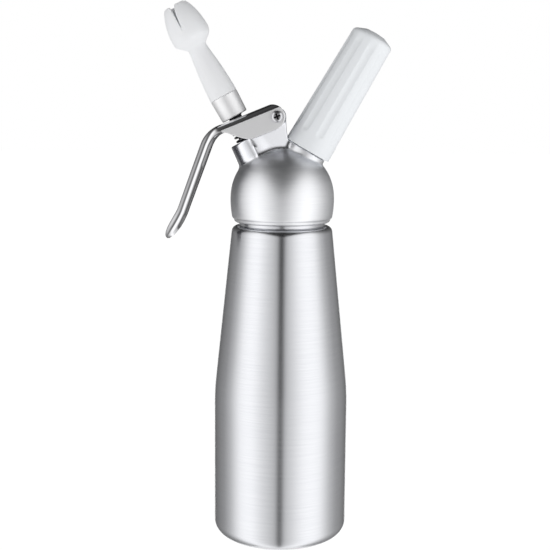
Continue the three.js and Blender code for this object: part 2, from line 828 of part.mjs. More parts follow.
function makeNozzleTip() {
  const outer = tulipShares.map(([up, out]) => [tulipRadius * out, tulipFoot + tulipHeight * up]);
  const inner = outer.slice(2).map(([radius, height]) => [radius - tulipWall, height]);
  const cone = [];
  const coneSteps = 4;
  for (let i = 0; i <= coneSteps; i += 1) {
    const share = i / coneSteps;
    const narrowing = (nozzleBaseRadius - nozzleNeckRadius) * share ** nozzleConePower;
    cone.push([nozzleBaseRadius - narrowing, nozzleFoot + nozzleConeLength * share]);
  }
  const body = revolveRing([
    [nozzleBoreRadius, spigotBottom],
    [spigotRadius, spigotBottom],
    [spigotRadius, nozzleFoot],
    ...cone,
    ...outer,
    ...inner.reverse(),
    [nozzleBoreRadius, tulipFoot + tulipWall],
  ]);
  const slitBottom = tulipTop - petalSlitDepth;
  const tipRoundBottom = tulipTop - petalTipRound;
  const slit = crossPrism([
    [-seatGap / 2, slitBottom],
    [seatGap / 2, slitBottom],
    [petalSlitWidth, tipRoundBottom],
    [petalSlitWidth + petalTipRound / 2, tulipTop],
    [petalSlitWidth + petalTipRound / 2, tulipTop + overrun],
    [-petalSlitWidth - petalTipRound / 2, tulipTop + overrun],
    [-petalSlitWidth - petalTipRound / 2, tulipTop],
    [-petalSlitWidth, tipRoundBottom],
  ], 4 * tulipRadius);
  let tip = body;
  for (let i = 0; i < petalCount / 2; i += 1) {
    const angle = petalSlitTurn + Math.PI / 2 + (2 * Math.PI * i) / petalCount;
    tip = tip.subtract(inFrame(slit, new THREE.Matrix4().makeRotationZ(angle)));
  }
  return tip;
}

// Pieces on the charger axis
function makeNipple() {
  const tailRadius = nippleRadius - sleeveThickness;
  const endTop = nippleBottom + nippleEndFlange;
  const sleeveTop = endTop + seatGap + sleeveLength + seatGap;
  const bore = piercerRadius + slipGap;
  const pinFloor = nippleTop - piercerRoot;
  const portLevel = endTop + sleeveLength / 2;
  const body = revolve([
    [0, nippleBottom],
    [nippleRadius, nippleBottom],
    [nippleRadius, endTop],
    [tailRadius, endTop],
    [tailRadius, sleeveTop],
    [nippleRadius, sleeveTop],
    [nippleRadius, nippleSeat],
    [nippleFlangeRadius, nippleSeat],
    [nippleFlangeRadius, nippleTop],
    [bore, nippleTop],
    [bore, pinFloor],
    [gasBoreRadius, pinFloor],
    [gasBoreRadius, portLevel],
    [0, portLevel],
  ], nippleFacets);
  const port = inFrame(crossRod(gasBoreRadius, 4 * nippleRadius, portFacets), raised(portLevel));
  return body.subtract(port);
}

function makeSleeve() {
  const bottom = nippleBottom + nippleEndFlange + seatGap;
  const inner = nippleRadius - sleeveThickness + slipGap;
  return tube(inner, inner + sleeveThickness, bottom, bottom + sleeveLength, nippleFacets);
}

function makePiercer() {
  const bottom = nippleTop - piercerRoot + seatGap;
  const top = chargerTip + piercerRise;
  return revolveRing([
    [piercerBoreRadius, bottom],
    [piercerRadius, bottom],
    [piercerRadius, top - piercerPoint],
    [piercerBoreRadius + slipGap / 2, top],
    [piercerBoreRadius, top],
  ], smallFacets);
}

// A half-round end of a piece on the axis, from its side to its top
function dome(centre, radius, steps) {
  return [...arc(0, centre, radius, 0, Math.PI / 2, steps).slice(0, -1), [0, centre + radius]];
}

function makeCharger() {
  const neckTop = chargerTip + chargerNeckLength;
  const shoulder = neckTop + chargerShoulderLength;
  const hole = piercerRadius + 2 * slipGap;
  const waist = (chargerNeckRadius + chargerRadius) / 2;
  return revolve([
    ...dome(chargerDomeCentre, chargerRadius, 6).reverse(),
    [chargerRadius, shoulder],
    [waist, (neckTop + shoulder) / 2],
    [chargerNeckRadius, neckTop],
    [chargerNeckRadius, chargerTip],
    [hole, chargerTip],
    [hole, chargerTip + chargerCapThickness],
    [chargerNeckRadius - chargerWall, chargerTip + chargerCapThickness],
    [chargerNeckRadius - chargerWall, neckTop],
    [waist - chargerWall, (neckTop + shoulder) / 2 + chargerWall / 2],
    [chargerRadius - chargerWall, shoulder + chargerWall / 2],
    ...dome(chargerDomeCentre, chargerRadius - chargerWall, 5),
  ]);
}

function makeHolder() {
  const threadRoot = bossThreadCrest + threadGap;
  const chamberFoot = bossTop + 4 * seatGap + chargerCapThickness;
  const edgeLevel = holderTop - holderCrown - holderEdgeRound;
  const edge = arc(holderTopRadius - holderEdgeRound, edgeLevel, holderEdgeRound, 0, Math.PI / 3, 3);
  const body = revolve([
    [threadRoot, holderRim],
    [holderRimRadius - seatGap, holderRim],
    [holderRimRadius, holderRim + seatGap],
    ...edge,
    [holderTopRadius / 2, holderTop - holderCrown / 4],
    [0, holderTop],
    ...dome(chargerDomeCentre, chamberRadius, 6).reverse(),
    [chamberRadius, chamberFoot],
    [threadRoot, chamberFoot],
    [threadRoot, holderRim],
  ], bodyFacets);
  const ridge = thread({
    root: threadRoot,
    depth: holderThreadDepth,
    foot: holderThreadFoot,
    crest: holderThreadCrest,
    pitch: holderPitch,
    turns: holderThreadTurns,
    start: bossShoulder + holderThreadFoot + holderPitch / 2,
    side: -1,
    stepsPerTurn: partFacets,
  });
  let holder = body;
  const lean = Math.atan((holderRimRadius - holderTopRadius) / (edgeLevel - holderRim));
  const fluteLength = edgeLevel + holderEdgeRound - holderRim - fluteStart;
  const fluteAxis = holderRimRadius - Math.tan(lean) * fluteStart + fluteRadius - fluteDepth;
  for (let i = 0; i < fluteCount; i += 1) {
    const angle = fluteTurn - Math.PI / 2 + (2 * Math.PI * i) / fluteCount;
    const cutter = rod(fluteRadius, 0, fluteLength + overrun, smallFacets);
    const frame = new THREE.Matrix4().makeRotationZ(angle)
      .multiply(new THREE.Matrix4().makeTranslation(fluteAxis, 0, holderRim + fluteStart))
      .multiply(new THREE.Matrix4().makeRotationY(-lean));
    holder = holder.subtract(inFrame(cutter, frame));
  }
  return holder.add(ridge);
}

// The lever, made in its own plane and narrowed towards the handle's tip
function leverFront(inset) {
  const half = leverHalfWidth - inset;
  const narrow = handleWidth / 2 - inset;
  const endLevel = Math.min(...leverOutline().map(([, up]) => up)) + inset;
  return [
    [half, bandRise + overrun],
    [-half, bandRise + overrun],
    [-half, -cheekDrop],
    [-narrow, flareCorner.y],
    ...arc(0, endLevel + narrow, narrow, Math.PI, 2 * Math.PI, 8),
    [narrow, flareCorner.y],
    [half, -cheekDrop],
  ];
}

function makeLever() {
  const reach = 3 * (bandReach + handleLength);
  const sheet = plate(leverOutline(), 2 * leverHalfWidth).intersect(crossPrism(leverFront(0), reach));
  const hollow = plate(leverHollow(), 2 * cheekInside).intersect(crossPrism(leverFront(leverSheet), reach));
  const slotRest = pivotArm / Math.cos(bandTilt) + bandUnder * Math.tan(bandTilt);
  const slotPressed = pivotArm / Math.cos(pressedTilt) + bandUnder * Math.tan(pressedTilt);
  const slotMiddle = (slotRest + slotPressed) / 2;
  const slotSlack = Math.abs(slotRest - slotPressed) / 2 + leverSheet * Math.tan(bandTilt) + slipGap;
  const slotRadius = stemThreadCrest + 2 * slipGap;
  const slotEnds = [slotMiddle - slotSlack, slotMiddle + slotSlack].map((along) => (
    rod(slotRadius, bandUnder - overrun, bandRise + overrun).translate([along, 0, 0])
  ));
  const slotBlock = plate([
    [slotMiddle - slotSlack, bandUnder - overrun],
    [slotMiddle + slotSlack, bandUnder - overrun],
    [slotMiddle + slotSlack, bandRise + overrun],
    [slotMiddle - slotSlack, bandRise + overrun],
  ], 2 * slotRadius);
  const pinHoles = crossRod(pinRadius + slipGap, 4 * leverHalfWidth);
  const slot = slotEnds[0].add(slotEnds[1]).add(slotBlock);
  return sheet.subtract(hollow).subtract(slot).subtract(pinHoles);
}

// The pivot screw and its nut, made in the lever's plane. The screw's head is on the +y side there.
function makePivotScrew() {
  const headSeatLevel = leverHalfWidth + seatGap;
  const end = -leverHalfWidth - seatGap - screwHeadHeight / 2;
  const profile = [
    [0, end],
    [pinRadius, end],
    [pinRadius, headSeatLevel],
    [screwHeadRadius, headSeatLevel],
    [screwHeadRadius, headSeatLevel + screwHeadHeight * screwRoundStartShare],
    [screwHeadRadius * screwRoundShare, headSeatLevel + screwHeadHeight * screwRoundEndShare],
    [0, headSeatLevel + screwHeadHeight],
  ];
  const top = headSeatLevel + screwHeadHeight;
  const arm = (length, width) => toSolid(new THREE.BoxGeometry(length, width, 2 * screwCrossDepth)
    .translate(0, 0, top));
  const screw = revolve(profile, smallFacets)
    .subtract(arm(screwCrossLength, screwCrossWidth))
    .subtract(arm(screwCrossWidth, screwCrossLength));
  return inFrame(screw, new THREE.Matrix4().makeRotationX(-Math.PI / 2));
}

function makePivotNut() {
  const seat = leverHalfWidth + seatGap;
  const bore = pinRadius + slipGap;
  const boreEnd = seat + screwHeadHeight / 2 + seatGap;
  const nut = revolve([
    [bore, seat],
    [screwHeadRadius, seat],
    [screwHeadRadius, seat + screwHeadHeight * screwRoundStartShare],
    [screwHeadRadius * screwRoundShare, seat + screwHeadHeight],
    [0, seat + screwHeadHeight + slipGap],
    [0, boreEnd],
    [bore, boreEnd],
    [bore, seat],
  ], smallFacets);
  return inFrame(nut, new THREE.Matrix4().makeRotationX(Math.PI / 2));
}

const finishes = {
  brushedAluminium: { color: 0xc9cacb, roughness: 0.35, metalness: 1 },
  satinAluminium: { color: 0xc4c5c7, roughness: 0.4, metalness: 1 },
  polishedSteel: { color: 0xd2d2d4, roughness: 0.15, metalness: 1 },
  brightMetal: { color: 0xe2e2e4, roughness: 0.25, metalness: 1 },
  springSteel: { color: 0x7d7d80, roughness: 0.3, metalness: 1 },
  brass: { color: 0xc9a45a, roughness: 0.3, metalness: 1 },
  nozzlePlastic: { color: 0xeeeef1, roughness: 0.45, metalness: 0 },
  holderPlastic: { color: 0xe6eaed, roughness: 0.3, metalness: 0 },
  silicone: { color: 0xd9d6cf, roughness: 0.6, metalness: 0 },
  blackRubber: { color: 0x202022, roughness: 0.7, metalness: 0 },
};

function named(name, solid, finish) {
  const mesh = new THREE.Mesh(toGeometry(solid), new THREE.MeshStandardMaterial(finishes[finish]));
  mesh.name = name;
  return mesh;
}

function framed(matrix, ...meshes) {
  const group = new THREE.Group();
  group.applyMatrix4(matrix);
  group.add(...meshes);
  return group;
}

const dispenser = new THREE.Group();

dispenser.add(
  named('bottle', makeBottle(), 'brushedAluminium'),
  named('head_gasket', tube(gasketBore, neckRadius, gasketBottom, gasketTop, bodyFacets), 'silicone'),
  named('head_casting', makeHeadCasting(), 'satinAluminium'),
);

dispenser.add(framed(
  valveFrame,
  named('valve_stem', makeStem(), 'polishedSteel'),
  named('valve_seal', tube(
    stemRadius + slipGap,
    poppetRadius - slipGap,
    seatLevel - seatGap - poppetSealThickness,
    seatLevel - seatGap,
  ), 'blackRubber'),
  named('stem_o_ring', tube(stemThreadCrest + slipGap / 2, ringRadius, ringBottom, ringTop), 'blackRubber'),
  named('stem_bush', revolveRing([
    [stemThreadCrest + slipGap, bushBottom],
    [ringRadius, bushBottom],
    [ringRadius, pocketFloor + seatGap],
    [bushFlangeRadius, pocketFloor + seatGap],
    [bushFlangeRadius, bushTop],
    [stemThreadCrest + slipGap, bushTop],
  ]), 'brass'),
  named('return_spring', makeSpring(), 'springSteel'),
  named('stem_nut', makeStemNut(), 'brightMetal'),
  named('nozzle_washer', tube(
    stemBoreRadius + slipGap,
    stemThreadCrest,
    washerBottom,
    washerTop,
  ), 'blackRubber'),
  named('nozzle_base', makeNozzleBase(), 'brightMetal'),
  named('nozzle_tip', makeNozzleTip(), 'nozzlePlastic'),
));

dispenser.add(framed(
  leverFrame,
  named('lever', makeLever(), 'polishedSteel'),
  named('pivot_screw', makePivotScrew(), 'brightMetal'),
  named('pivot_nut', makePivotNut(), 'brightMetal'),
));

dispenser.add(framed(
  inletFrame,
  named('gas_inlet_nipple', makeNipple(), 'brass'),
  named('check_valve_sleeve', makeSleeve(), 'blackRubber'),
  named('piercing_pin', makePiercer(), 'polishedSteel'),
  named('inlet_gasket', tube(
    inletGasketBore,
    nippleFlangeRadius - slipGap,
    inletGasketBottom,
    inletGasketTop,
  ), 'blackRubber'),
  named('gas_charger', makeCharger(), 'springSteel'),
  named('charger_holder', makeHolder(), 'holderPlastic'),
));

export default dispenser;
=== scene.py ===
# %% [markdown]
# # A whipped cream dispenser
# The object is a metal bottle with a domed head, a squeeze lever, a white tulip nozzle and a white
# ribbed holder for a gas charger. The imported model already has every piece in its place. This script
# gives each visible piece the smooth skin and the finish that it has on the real thing, and lights it
# as a product photographer would.

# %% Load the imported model
import math

import bpy
import numpy as np
from mathutils import Matrix, Vector


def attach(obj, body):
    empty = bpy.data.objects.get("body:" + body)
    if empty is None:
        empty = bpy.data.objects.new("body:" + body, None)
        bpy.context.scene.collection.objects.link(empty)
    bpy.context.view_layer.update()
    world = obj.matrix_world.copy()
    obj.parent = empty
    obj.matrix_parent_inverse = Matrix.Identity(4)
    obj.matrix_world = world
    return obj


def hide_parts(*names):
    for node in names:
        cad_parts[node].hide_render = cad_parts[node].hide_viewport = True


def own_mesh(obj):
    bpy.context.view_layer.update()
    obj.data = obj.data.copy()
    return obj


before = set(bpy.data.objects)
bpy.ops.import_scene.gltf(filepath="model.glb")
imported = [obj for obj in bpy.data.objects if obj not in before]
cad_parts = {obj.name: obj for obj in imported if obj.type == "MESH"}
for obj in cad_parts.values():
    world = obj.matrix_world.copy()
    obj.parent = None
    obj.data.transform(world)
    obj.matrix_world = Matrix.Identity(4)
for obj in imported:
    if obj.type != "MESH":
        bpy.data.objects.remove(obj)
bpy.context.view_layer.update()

MM = 0.001
print("nodes:", len(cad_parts))

# %% [markdown]
# ## The camera
# A product photograph is taken from some distance with a long lens, so that upright sides stay almost
# parallel. This camera stands 650 mm in front of the bottle at the height of the head and looks down a
# little. The bottle's middle is slightly right of the picture's middle, which a small lens shift gives,
# and the whole leans half a degree.

# %% Camera
IMAGE_SIDE = 550
FOCAL_PIXELS = 1100.2
BOTTLE_MIDDLE_PIXEL = 281.65
CAMERA_DISTANCE, CAMERA_HEIGHT = 650, 256.34
LOOKS_DOWN, LEANS = 8.55, 0.466
camera_data = bpy.data.cameras.new("camera")
camera_data.sensor_width = 36
camera_data.lens = FOCAL_PIXELS / IMAGE_SIDE * camera_data.sensor_width
camera_data.shift_x = (IMAGE_SIDE / 2 - BOTTLE_MIDDLE_PIXEL) / IMAGE_SIDE
camera_data.clip_start = 0.01
camera_data.clip_end = 30
camera = bpy.data.objects.new("camera", camera_data)
bpy.context.scene.collection.objects.link(camera)
camera.matrix_world = (
    Matrix.Translation((0, -CAMERA_DISTANCE * MM, CAMERA_HEIGHT * MM))
    @ Matrix.Rotation(math.radians(90 - LOOKS_DOWN), 4, "X")
    @ Matrix.Rotation(math.radians(LEANS), 4, "Z")
)
bpy.context.scene.camera = camera
bpy.context.scene.view_settings.view_transform = "Standard"
print(f"lens {camera_data.lens:.1f} mm")

# %% [markdown]
# ## Colour and nodes
# Colours are written as a designer writes them, as sRGB hex. A renderer works with linear light, so one
# function turns one into the other. Another small function adds a shader node with its settings and its
# links in one line.

# %% Colour and node helpers
def linear(hex_colour):
    """The linear red, green, blue and alpha of an sRGB hex colour."""
    channels = [int(hex_colour[i:i + 2], 16) / 255 for i in (0, 2, 4)]
    return [c / 12.92 if c <= 0.04045 else ((c + 0.055) / 1.055) ** 2.4 for c in channels] + [1.0]


def add(tree, kind, inputs=None, **settings):
    """A new node in a tree. A value that is another node's output is linked, and any other is set."""
    node = tree.nodes.new(kind)
    for key, value in settings.items():
        setattr(node, key, value)
    for key, value in (inputs or {}).items():
        if isinstance(value, bpy.types.NodeSocket):
            tree.links.new(value, node.inputs[key])
        else:
            node.inputs[key].default_value = value
    return node


print("white is", linear("ffffff"))

# %% [markdown]
# ## The studio
# Polished and brushed metal has almost no colour of its own: it shows what stands around it. The
# photograph was taken between two tall soft boxes, left and right of the object, with a dark gap where
# the camera stands and darkness overhead and behind. So the world is a pattern of the direction: one
# ramp runs around the object, and another one falls off with height, sooner in the middle than at the
# sides, as the top edges of two boxes do. High behind the object it is darker still. The room's own
# walls give a faint grey everywhere, and an even haze lifts the shades of the plastics. Low behind the
# object the metal shows the same white background as the camera sees.

# %% World
world = bpy.data.worlds.new("studio")
bpy.context.scene.world = world
world.use_nodes = True
sky = world.node_tree
sky.nodes.clear()


def ramp(tree, factor, stops):
    """A ramp of greys: each stop is a place from 0 to 1 and a brightness."""
    node = add(tree, "ShaderNodeValToRGB", {"Fac": factor})
    elements = node.color_ramp.elements
    elements.remove(elements[1])
    for i, (place, grey) in enumerate(stops):
        element = elements[0] if i == 0 else elements.new(place)
        element.position = place
        element.color = (grey, grey, grey, 1)
    return node.outputs["Color"]


def computed(tree, operation, *values):
    """The output of one math node, such as a product or the larger of two values."""
    return add(tree, "ShaderNodeMath", dict(enumerate(values)), operation=operation).outputs[0]


# Degrees from the camera's side of the object, negative to the left, and how bright the studio is there
# (the left side is a little darker towards the back, where its box stands further forward)
BRIGHTNESS_AROUND = [
    (-180, 0.03), (-160, 0.09), (-136, 0.18), (-114, 0.27), (-96, 0.48), (-84, 0.73), (-74, 0.92),
    (-62, 1.0), (-50, 0.98), (-40, 0.85), (-30, 0.71), (-20, 0.60), (-8, 0.46), (-3, 0.10), (2, 0.10),
    (7, 0.47), (13, 0.60), (20, 0.67), (30, 0.82), (40, 0.94), (50, 1.0), (62, 1.0), (74, 0.92),
    (84, 0.73), (96, 0.50), (114, 0.31), (136, 0.22), (160, 0.10), (180, 0.03),
]
# Degrees of height as seen from the front, and the share of the brightness that is left there
BRIGHTNESS_ABOVE = [(0, 1.0), (38, 1.0), (46, 0.85), (52, 0.42), (57, 0.10), (68, 0.03), (90, 0.02)]
# How far a direction is both behind and up, and the share of the brightness that is left there
BRIGHTNESS_HIGH_BEHIND = [(0, 1.0), (0.12, 0.75), (0.3, 0.34), (0.5, 0.17)]
STUDIO_STRENGTH = 1.3
WALL_GREY = 0.015
HAZE_STRENGTH = 0.06
BACKGROUND_HALF_WIDTH = 0.28
BACKGROUND_TOP = -0.02

looking = add(sky, "ShaderNodeTexCoord").outputs["Generated"]
direction = add(sky, "ShaderNodeSeparateXYZ", {"Vector": looking})
right, back, up = (direction.outputs[k] for k in "XYZ")
aside = computed(sky, "ABSOLUTE", right)
around = computed(sky, "ARCTAN2", right, computed(sky, "MULTIPLY", back, -1.0))
turn = computed(sky, "MULTIPLY_ADD", around, 0.5 / math.pi, 0.5)
height = computed(sky, "DIVIDE", computed(sky, "ARCTAN2", up, aside), math.pi / 2)
high_behind = computed(sky, "MULTIPLY", back, computed(sky, "MAXIMUM", up, 0.0))
boxes = computed(
    sky, "MULTIPLY",
    ramp(sky, turn, [(0.5 + angle / 360, grey) for angle, grey in BRIGHTNESS_AROUND]),
    computed(
        sky, "MULTIPLY",
        ramp(sky, height, [(angle / 90, share) for angle, share in BRIGHTNESS_ABOVE]),
        ramp(sky, high_behind, BRIGHTNESS_HIGH_BEHIND),
    ),
)
in_the_middle = computed(sky, "LESS_THAN", aside, BACKGROUND_HALF_WIDTH)
behind = computed(sky, "MULTIPLY", in_the_middle, computed(sky, "GREATER_THAN", back, 0.0))
low_behind = computed(sky, "MULTIPLY", behind, computed(sky, "LESS_THAN", up, BACKGROUND_TOP))

rays = add(sky, "ShaderNodeLightPath")
white = add(sky, "ShaderNodeBackground", {"Color": linear("ffffff"), "Strength": 1.0}).outputs[0]
walls = add(sky, "ShaderNodeVectorMath", {0: boxes, 1: (WALL_GREY,) * 3}, operation="ADD").outputs[0]
studio = add(sky, "ShaderNodeBackground", {"Color": walls, "Strength": STUDIO_STRENGTH}).outputs[0]
haze = add(sky, "ShaderNodeBackground", {"Color": linear("ffffff"), "Strength": HAZE_STRENGTH}).outputs[0]
soft = add(sky, "ShaderNodeAddShader", {0: studio, 1: haze}).outputs[0]
reflected = add(sky, "ShaderNodeMixShader", {0: low_behind, 1: studio, 2: white}).outputs[0]
lit = add(sky, "ShaderNodeMixShader", {0: rays.outputs["Is Glossy Ray"], 1: soft, 2: reflected}).outputs[0]
seen = computed(sky, "MAXIMUM", rays.outputs["Is Camera Ray"], rays.outputs["Is Transmission Ray"])
everything = add(sky, "ShaderNodeMixShader", {0: seen, 1: lit, 2: white}).outputs[0]
add(sky, "ShaderNodeOutputWorld", {"Surface": everything})
print("studio directions:", len(BRIGHTNESS_AROUND), "around,", len(BRIGHTNESS_ABOVE), "above")

# %% [markdown]
# ## Lamps and floor
# Two soft lamps in front give the white plastics a lighter and a darker side. The floor is the white
# paper that the bottle stands on. The camera sees it as white as the background, except for the shade
# under the bottle. To the object it is a bright sheet that lights it from below.


# %% Lamps and floor
def soft_lamp(name, place, size, watts):
    """A square area lamp that looks at the head and isn't itself seen in the metal."""
    data = bpy.data.lights.new(name, "AREA")
    data.size = size
    data.energy = watts
    lamp = bpy.data.objects.new(name, data)
    bpy.context.scene.collection.objects.link(lamp)
    lamp.location = place
    lamp.rotation_euler = (Vector(place) - Vector((0, 0, 0.2))).to_track_quat("Z", "Y").to_euler()
    lamp.visible_glossy = False
    return lamp


LAMP_SIZE = 0.7
soft_lamp("lamp_left", (-0.9, -0.7, 0.3), LAMP_SIZE, 0.6)
soft_lamp("lamp_right", (1.0, -0.5, 0.1), LAMP_SIZE, 2.5)

FLOOR_REACH, FLOOR_DROP = 6.0, 0.0003
PAPER_GLOW, PAPER_SHADE, PAPER_BOUNCE = 0.97, 0.18, 1.0
floor_mesh = bpy.data.meshes.new("floor")
corners = [(-1, -1), (1, -1), (1, 1), (-1, 1)]
corners = [(FLOOR_REACH * a, FLOOR_REACH * b, -FLOOR_DROP) for a, b in corners]
floor_mesh.from_pydata(corners, [], [(0, 1, 2, 3)])
floor = bpy.data.objects.new("floor", floor_mesh)
bpy.context.scene.collection.objects.link(floor)
floor.visible_glossy = False
paper = bpy.data.materials.new("white_paper_sweep")
paper.use_nodes = True
tree = paper.node_tree
tree.nodes.clear()
glow = add(tree, "ShaderNodeEmission", {"Color": linear("ffffff"), "Strength": PAPER_GLOW}).outputs[0]
dim = add(tree, "ShaderNodeBsdfDiffuse", {"Color": (PAPER_SHADE, PAPER_SHADE, PAPER_SHADE, 1)}).outputs[0]
bounced = add(tree, "ShaderNodeEmission", {"Color": linear("ffffff"), "Strength": PAPER_BOUNCE}).outputs[0]
eye = add(tree, "ShaderNodeLightPath").outputs["Is Camera Ray"]
seen_paper = add(tree, "ShaderNodeAddShader", {0: glow, 1: dim}).outputs[0]
both = add(tree, "ShaderNodeMixShader", {0: eye, 1: bounced, 2: seen_paper}).outputs[0]
add(tree, "ShaderNodeOutputMaterial", {"Surface": both})
floor_mesh.materials.append(paper)
print("lamps and floor ready")

# %% [markdown]
# ## Metals
# Aluminium that is turned against an abrasive belt keeps fine lines around it. They spread every
# reflection up and down but hardly sideways, so the bottle shows clean upright bands. The real lines
# are about 0.1 mm apart, too fine to see here, so they are drawn 0.4 mm apart, as slight changes of
# brightness, roughness and height.


# %% Brushed and polished metals
def surface(name, colour, roughness, metallic=0.0, **sockets):
    """A material of one colour, with its shader and node tree for what is added to it."""
    material = bpy.data.materials.new(name)
    material.use_nodes = True
    shader = material.node_tree.nodes["Principled BSDF"]
    shader.inputs["Base Color"].default_value = linear(colour)
    shader.inputs["Roughness"].default_value = roughness
    shader.inputs["Metallic"].default_value = metallic
    for key, value in sockets.items():
        shader.inputs[key].default_value = value
    return material, shader, material.node_tree


def fine_lines(tree, shader, along, across, dark, light, rough, height):
    """Fine lines around Z: along and across are their length and spacing in millimetres."""
    place = add(tree, "ShaderNodeTexCoord").outputs["Object"]
    stretch = add(tree, "ShaderNodeMapping", {
        "Vector": place, "Scale": (1000 / along, 1000 / along, 1000 / across),
    })
    lines = add(tree, "ShaderNodeTexNoise", {
        "Vector": stretch.outputs[0], "Scale": 1.0, "Detail": 3.0, "Roughness": 0.65,
    }).outputs["Fac"]
    tint = add(tree, "ShaderNodeValToRGB", {"Fac": lines})
    for stop, place, colour in zip(tint.color_ramp.elements, (0.3, 0.7), (dark, light)):
        stop.position = place
        stop.color = linear(colour)
    tree.links.new(tint.outputs["Color"], shader.inputs["Base Color"])
    grain = add(tree, "ShaderNodeMapRange", {
        "Value": lines, "From Min": 0.3, "From Max": 0.7, "To Min": rough[0], "To Max": rough[1],
    })
    tree.links.new(grain.outputs["Result"], shader.inputs["Roughness"])
    relief = add(tree, "ShaderNodeBump", {"Height": lines, "Strength": 0.2, "Distance": height * MM})
    tree.links.new(relief.outputs["Normal"], shader.inputs["Normal"])


bottle_aluminium, shader, tree = surface("brushed_aluminium", "dddee1", 0.24, 1.0, Anisotropic=0.75)
shader.inputs["Anisotropic Rotation"].default_value = 0.25
fine_lines(
    tree, shader, along=30, across=0.4, dark="d8d9dd", light="e1e2e5", rough=(0.20, 0.26), height=0.003,
)
around_z = add(tree, "ShaderNodeTangent", direction_type="RADIAL", axis="Z")
tree.links.new(around_z.outputs[0], shader.inputs["Tangent"])

# The head was turned and then blasted, so faint rings show through an even satin skin that blurs all
# reflections
head_aluminium, shader, tree = surface("satin_cast_aluminium", "f6f6f8", 0.42, 1.0)
fine_lines(
    tree, shader, along=14, across=0.4, dark="f1f2f5", light="f9fafc", rough=(0.40, 0.46), height=0.004,
)

# The valve's housing, the web and the barrel were machined afterwards, which leaves them smoother
machined_aluminium = surface("machined_cast_aluminium", "eaebef", 0.25, 1.0)[0]

# The lever's sheet keeps the mill's satin grain on its flat cheeks, and the folded outside was polished
# afterwards. The handle's turned-in edges and inside are rougher and painted dark grey, as painted shade
polished_steel = surface("polished_stainless_steel", "e4e4e6", 0.05, 1.0)[0]
satin_steel = surface("satin_stainless_steel", "f4f4f5", 0.56, 1.0)[0]
painted_shade_grey_steel = surface("stainless_steel_painted_grey_as_shade", "77777a", 0.45, 1.0)[0]
turned_steel = surface("turned_stainless_steel", "d0d0d3", 0.22, 1.0)[0]
# The knurl's many tiny faces scatter the light, so the base looks whiter and less like a mirror than
# plain metal
bright_aluminium = surface("bright_knurled_aluminium", "f3f3f4", 0.40, 0.6)[0]
# The stem and the bottom of the screw's recess look nearly black, so this steel is painted nearly black, as
# painted shade
painted_shade_black_steel = surface("steel_painted_black_as_shade", "2c2c2e", 0.40, 1.0)[0]
nickel = surface("nickel_plated_brass", "e6e4e2", 0.24, 1.0)[0]
spring_steel = surface("drawn_spring_steel", "6f6f72", 0.30, 1.0)[0]
brass = surface("turned_brass", "d8b468", 0.28, 1.0)[0]
charger_steel = surface("zinc_plated_steel", "b9bcc0", 0.34, 1.0)[0]
print("metals:", [m.name for m in bpy.data.materials])

# %% [markdown]
# ## Plastics and rubber
# The nozzle is injection moulded polypropylene, white and slightly soft to the light, with a satin
# skin. The charger holder is ABS, cooler and a little glossier. Gaskets are food-safe silicone or black
# nitrile rubber.

# %% Plastics and rubber
nozzle_plastic = surface("white_polypropylene", "eeeff1", 0.42, IOR=1.49)[0]
nozzle_shader = nozzle_plastic.node_tree.nodes["Principled BSDF"]
nozzle_shader.inputs["Subsurface Weight"].default_value = 0.3
nozzle_shader.inputs["Subsurface Radius"].default_value = (1.0, 1.0, 1.0)
nozzle_shader.inputs["Subsurface Scale"].default_value = 1.2 * MM
holder_plastic = surface("white_abs", "ebeef1", 0.30, IOR=1.53)[0]
silicone = surface("pale_silicone", "dcd9d2", 0.55, IOR=1.41)[0]
nitrile = surface("black_nitrile_rubber", "1c1c1e", 0.62, IOR=1.5)[0]
print("materials:", len(bpy.data.materials))

# %% [markdown]
# ## From a profile to a turned piece
# Most pieces here were turned on a lathe, so each is a profile swept around an axis. No real edge is
# perfectly sharp: a turned edge is broken by a few tenths of a millimetre, and that bevel is what
# catches the light.


# %% Turned pieces
def softened(profile, size=0.3, steps=3):
    """A closed profile with each corner rounded. A point may carry its own size as a third number."""
    result = []
    for i, point in enumerate(profile):
        here = np.array(point[:2], float)
        before = np.array(profile[i - 1][:2], float)
        after = np.array(profile[(i + 1) % len(profile)][:2], float)
        reach = point[2] if len(point) > 2 else size
        reach = min(reach, 0.45 * np.linalg.norm(before - here), 0.45 * np.linalg.norm(after - here))
        if here[0] == 0 or reach < 0.01:
            result.append(tuple(here))
            continue
        start = here + (before - here) / np.linalg.norm(before - here) * reach
        end = here + (after - here) / np.linalg.norm(after - here) * reach
        for share in np.linspace(0, 1, steps + 1):
            corner = (1 - share) ** 2 * start + 2 * share * (1 - share) * here + share ** 2 * end
            result.append(tuple(corner))
    return result


def turned(profile, segments=64, radius_change=None):
    """Points and faces of a closed [radius, height] profile swept around Z."""
    points, rings = [], []
    for radius, height in profile:
        if radius == 0:
            rings.append([len(points)])
            points.append((0, 0, height))
            continue
        rings.append(range(len(points), len(points) + segments))
        for k in range(segments):
            angle = 2 * math.pi * k / segments
            r = radius + (radius_change(radius, height, angle) if radius_change else 0)
            points.append((r * math.cos(angle), r * math.sin(angle), height))
    faces = []
    for low, high in zip(rings, rings[1:] + rings[:1]):
        for k in range(segments):
            a, b = low[k % len(low)], low[(k + 1) % len(low)]
            c, d = high[(k + 1) % len(high)], high[k % len(high)]
            face = [v for i, v in enumerate((a, b, c, d)) if v not in (a, b, c, d)[:i]]
            if len(face) > 2:
                faces.append(face)
    return points, faces


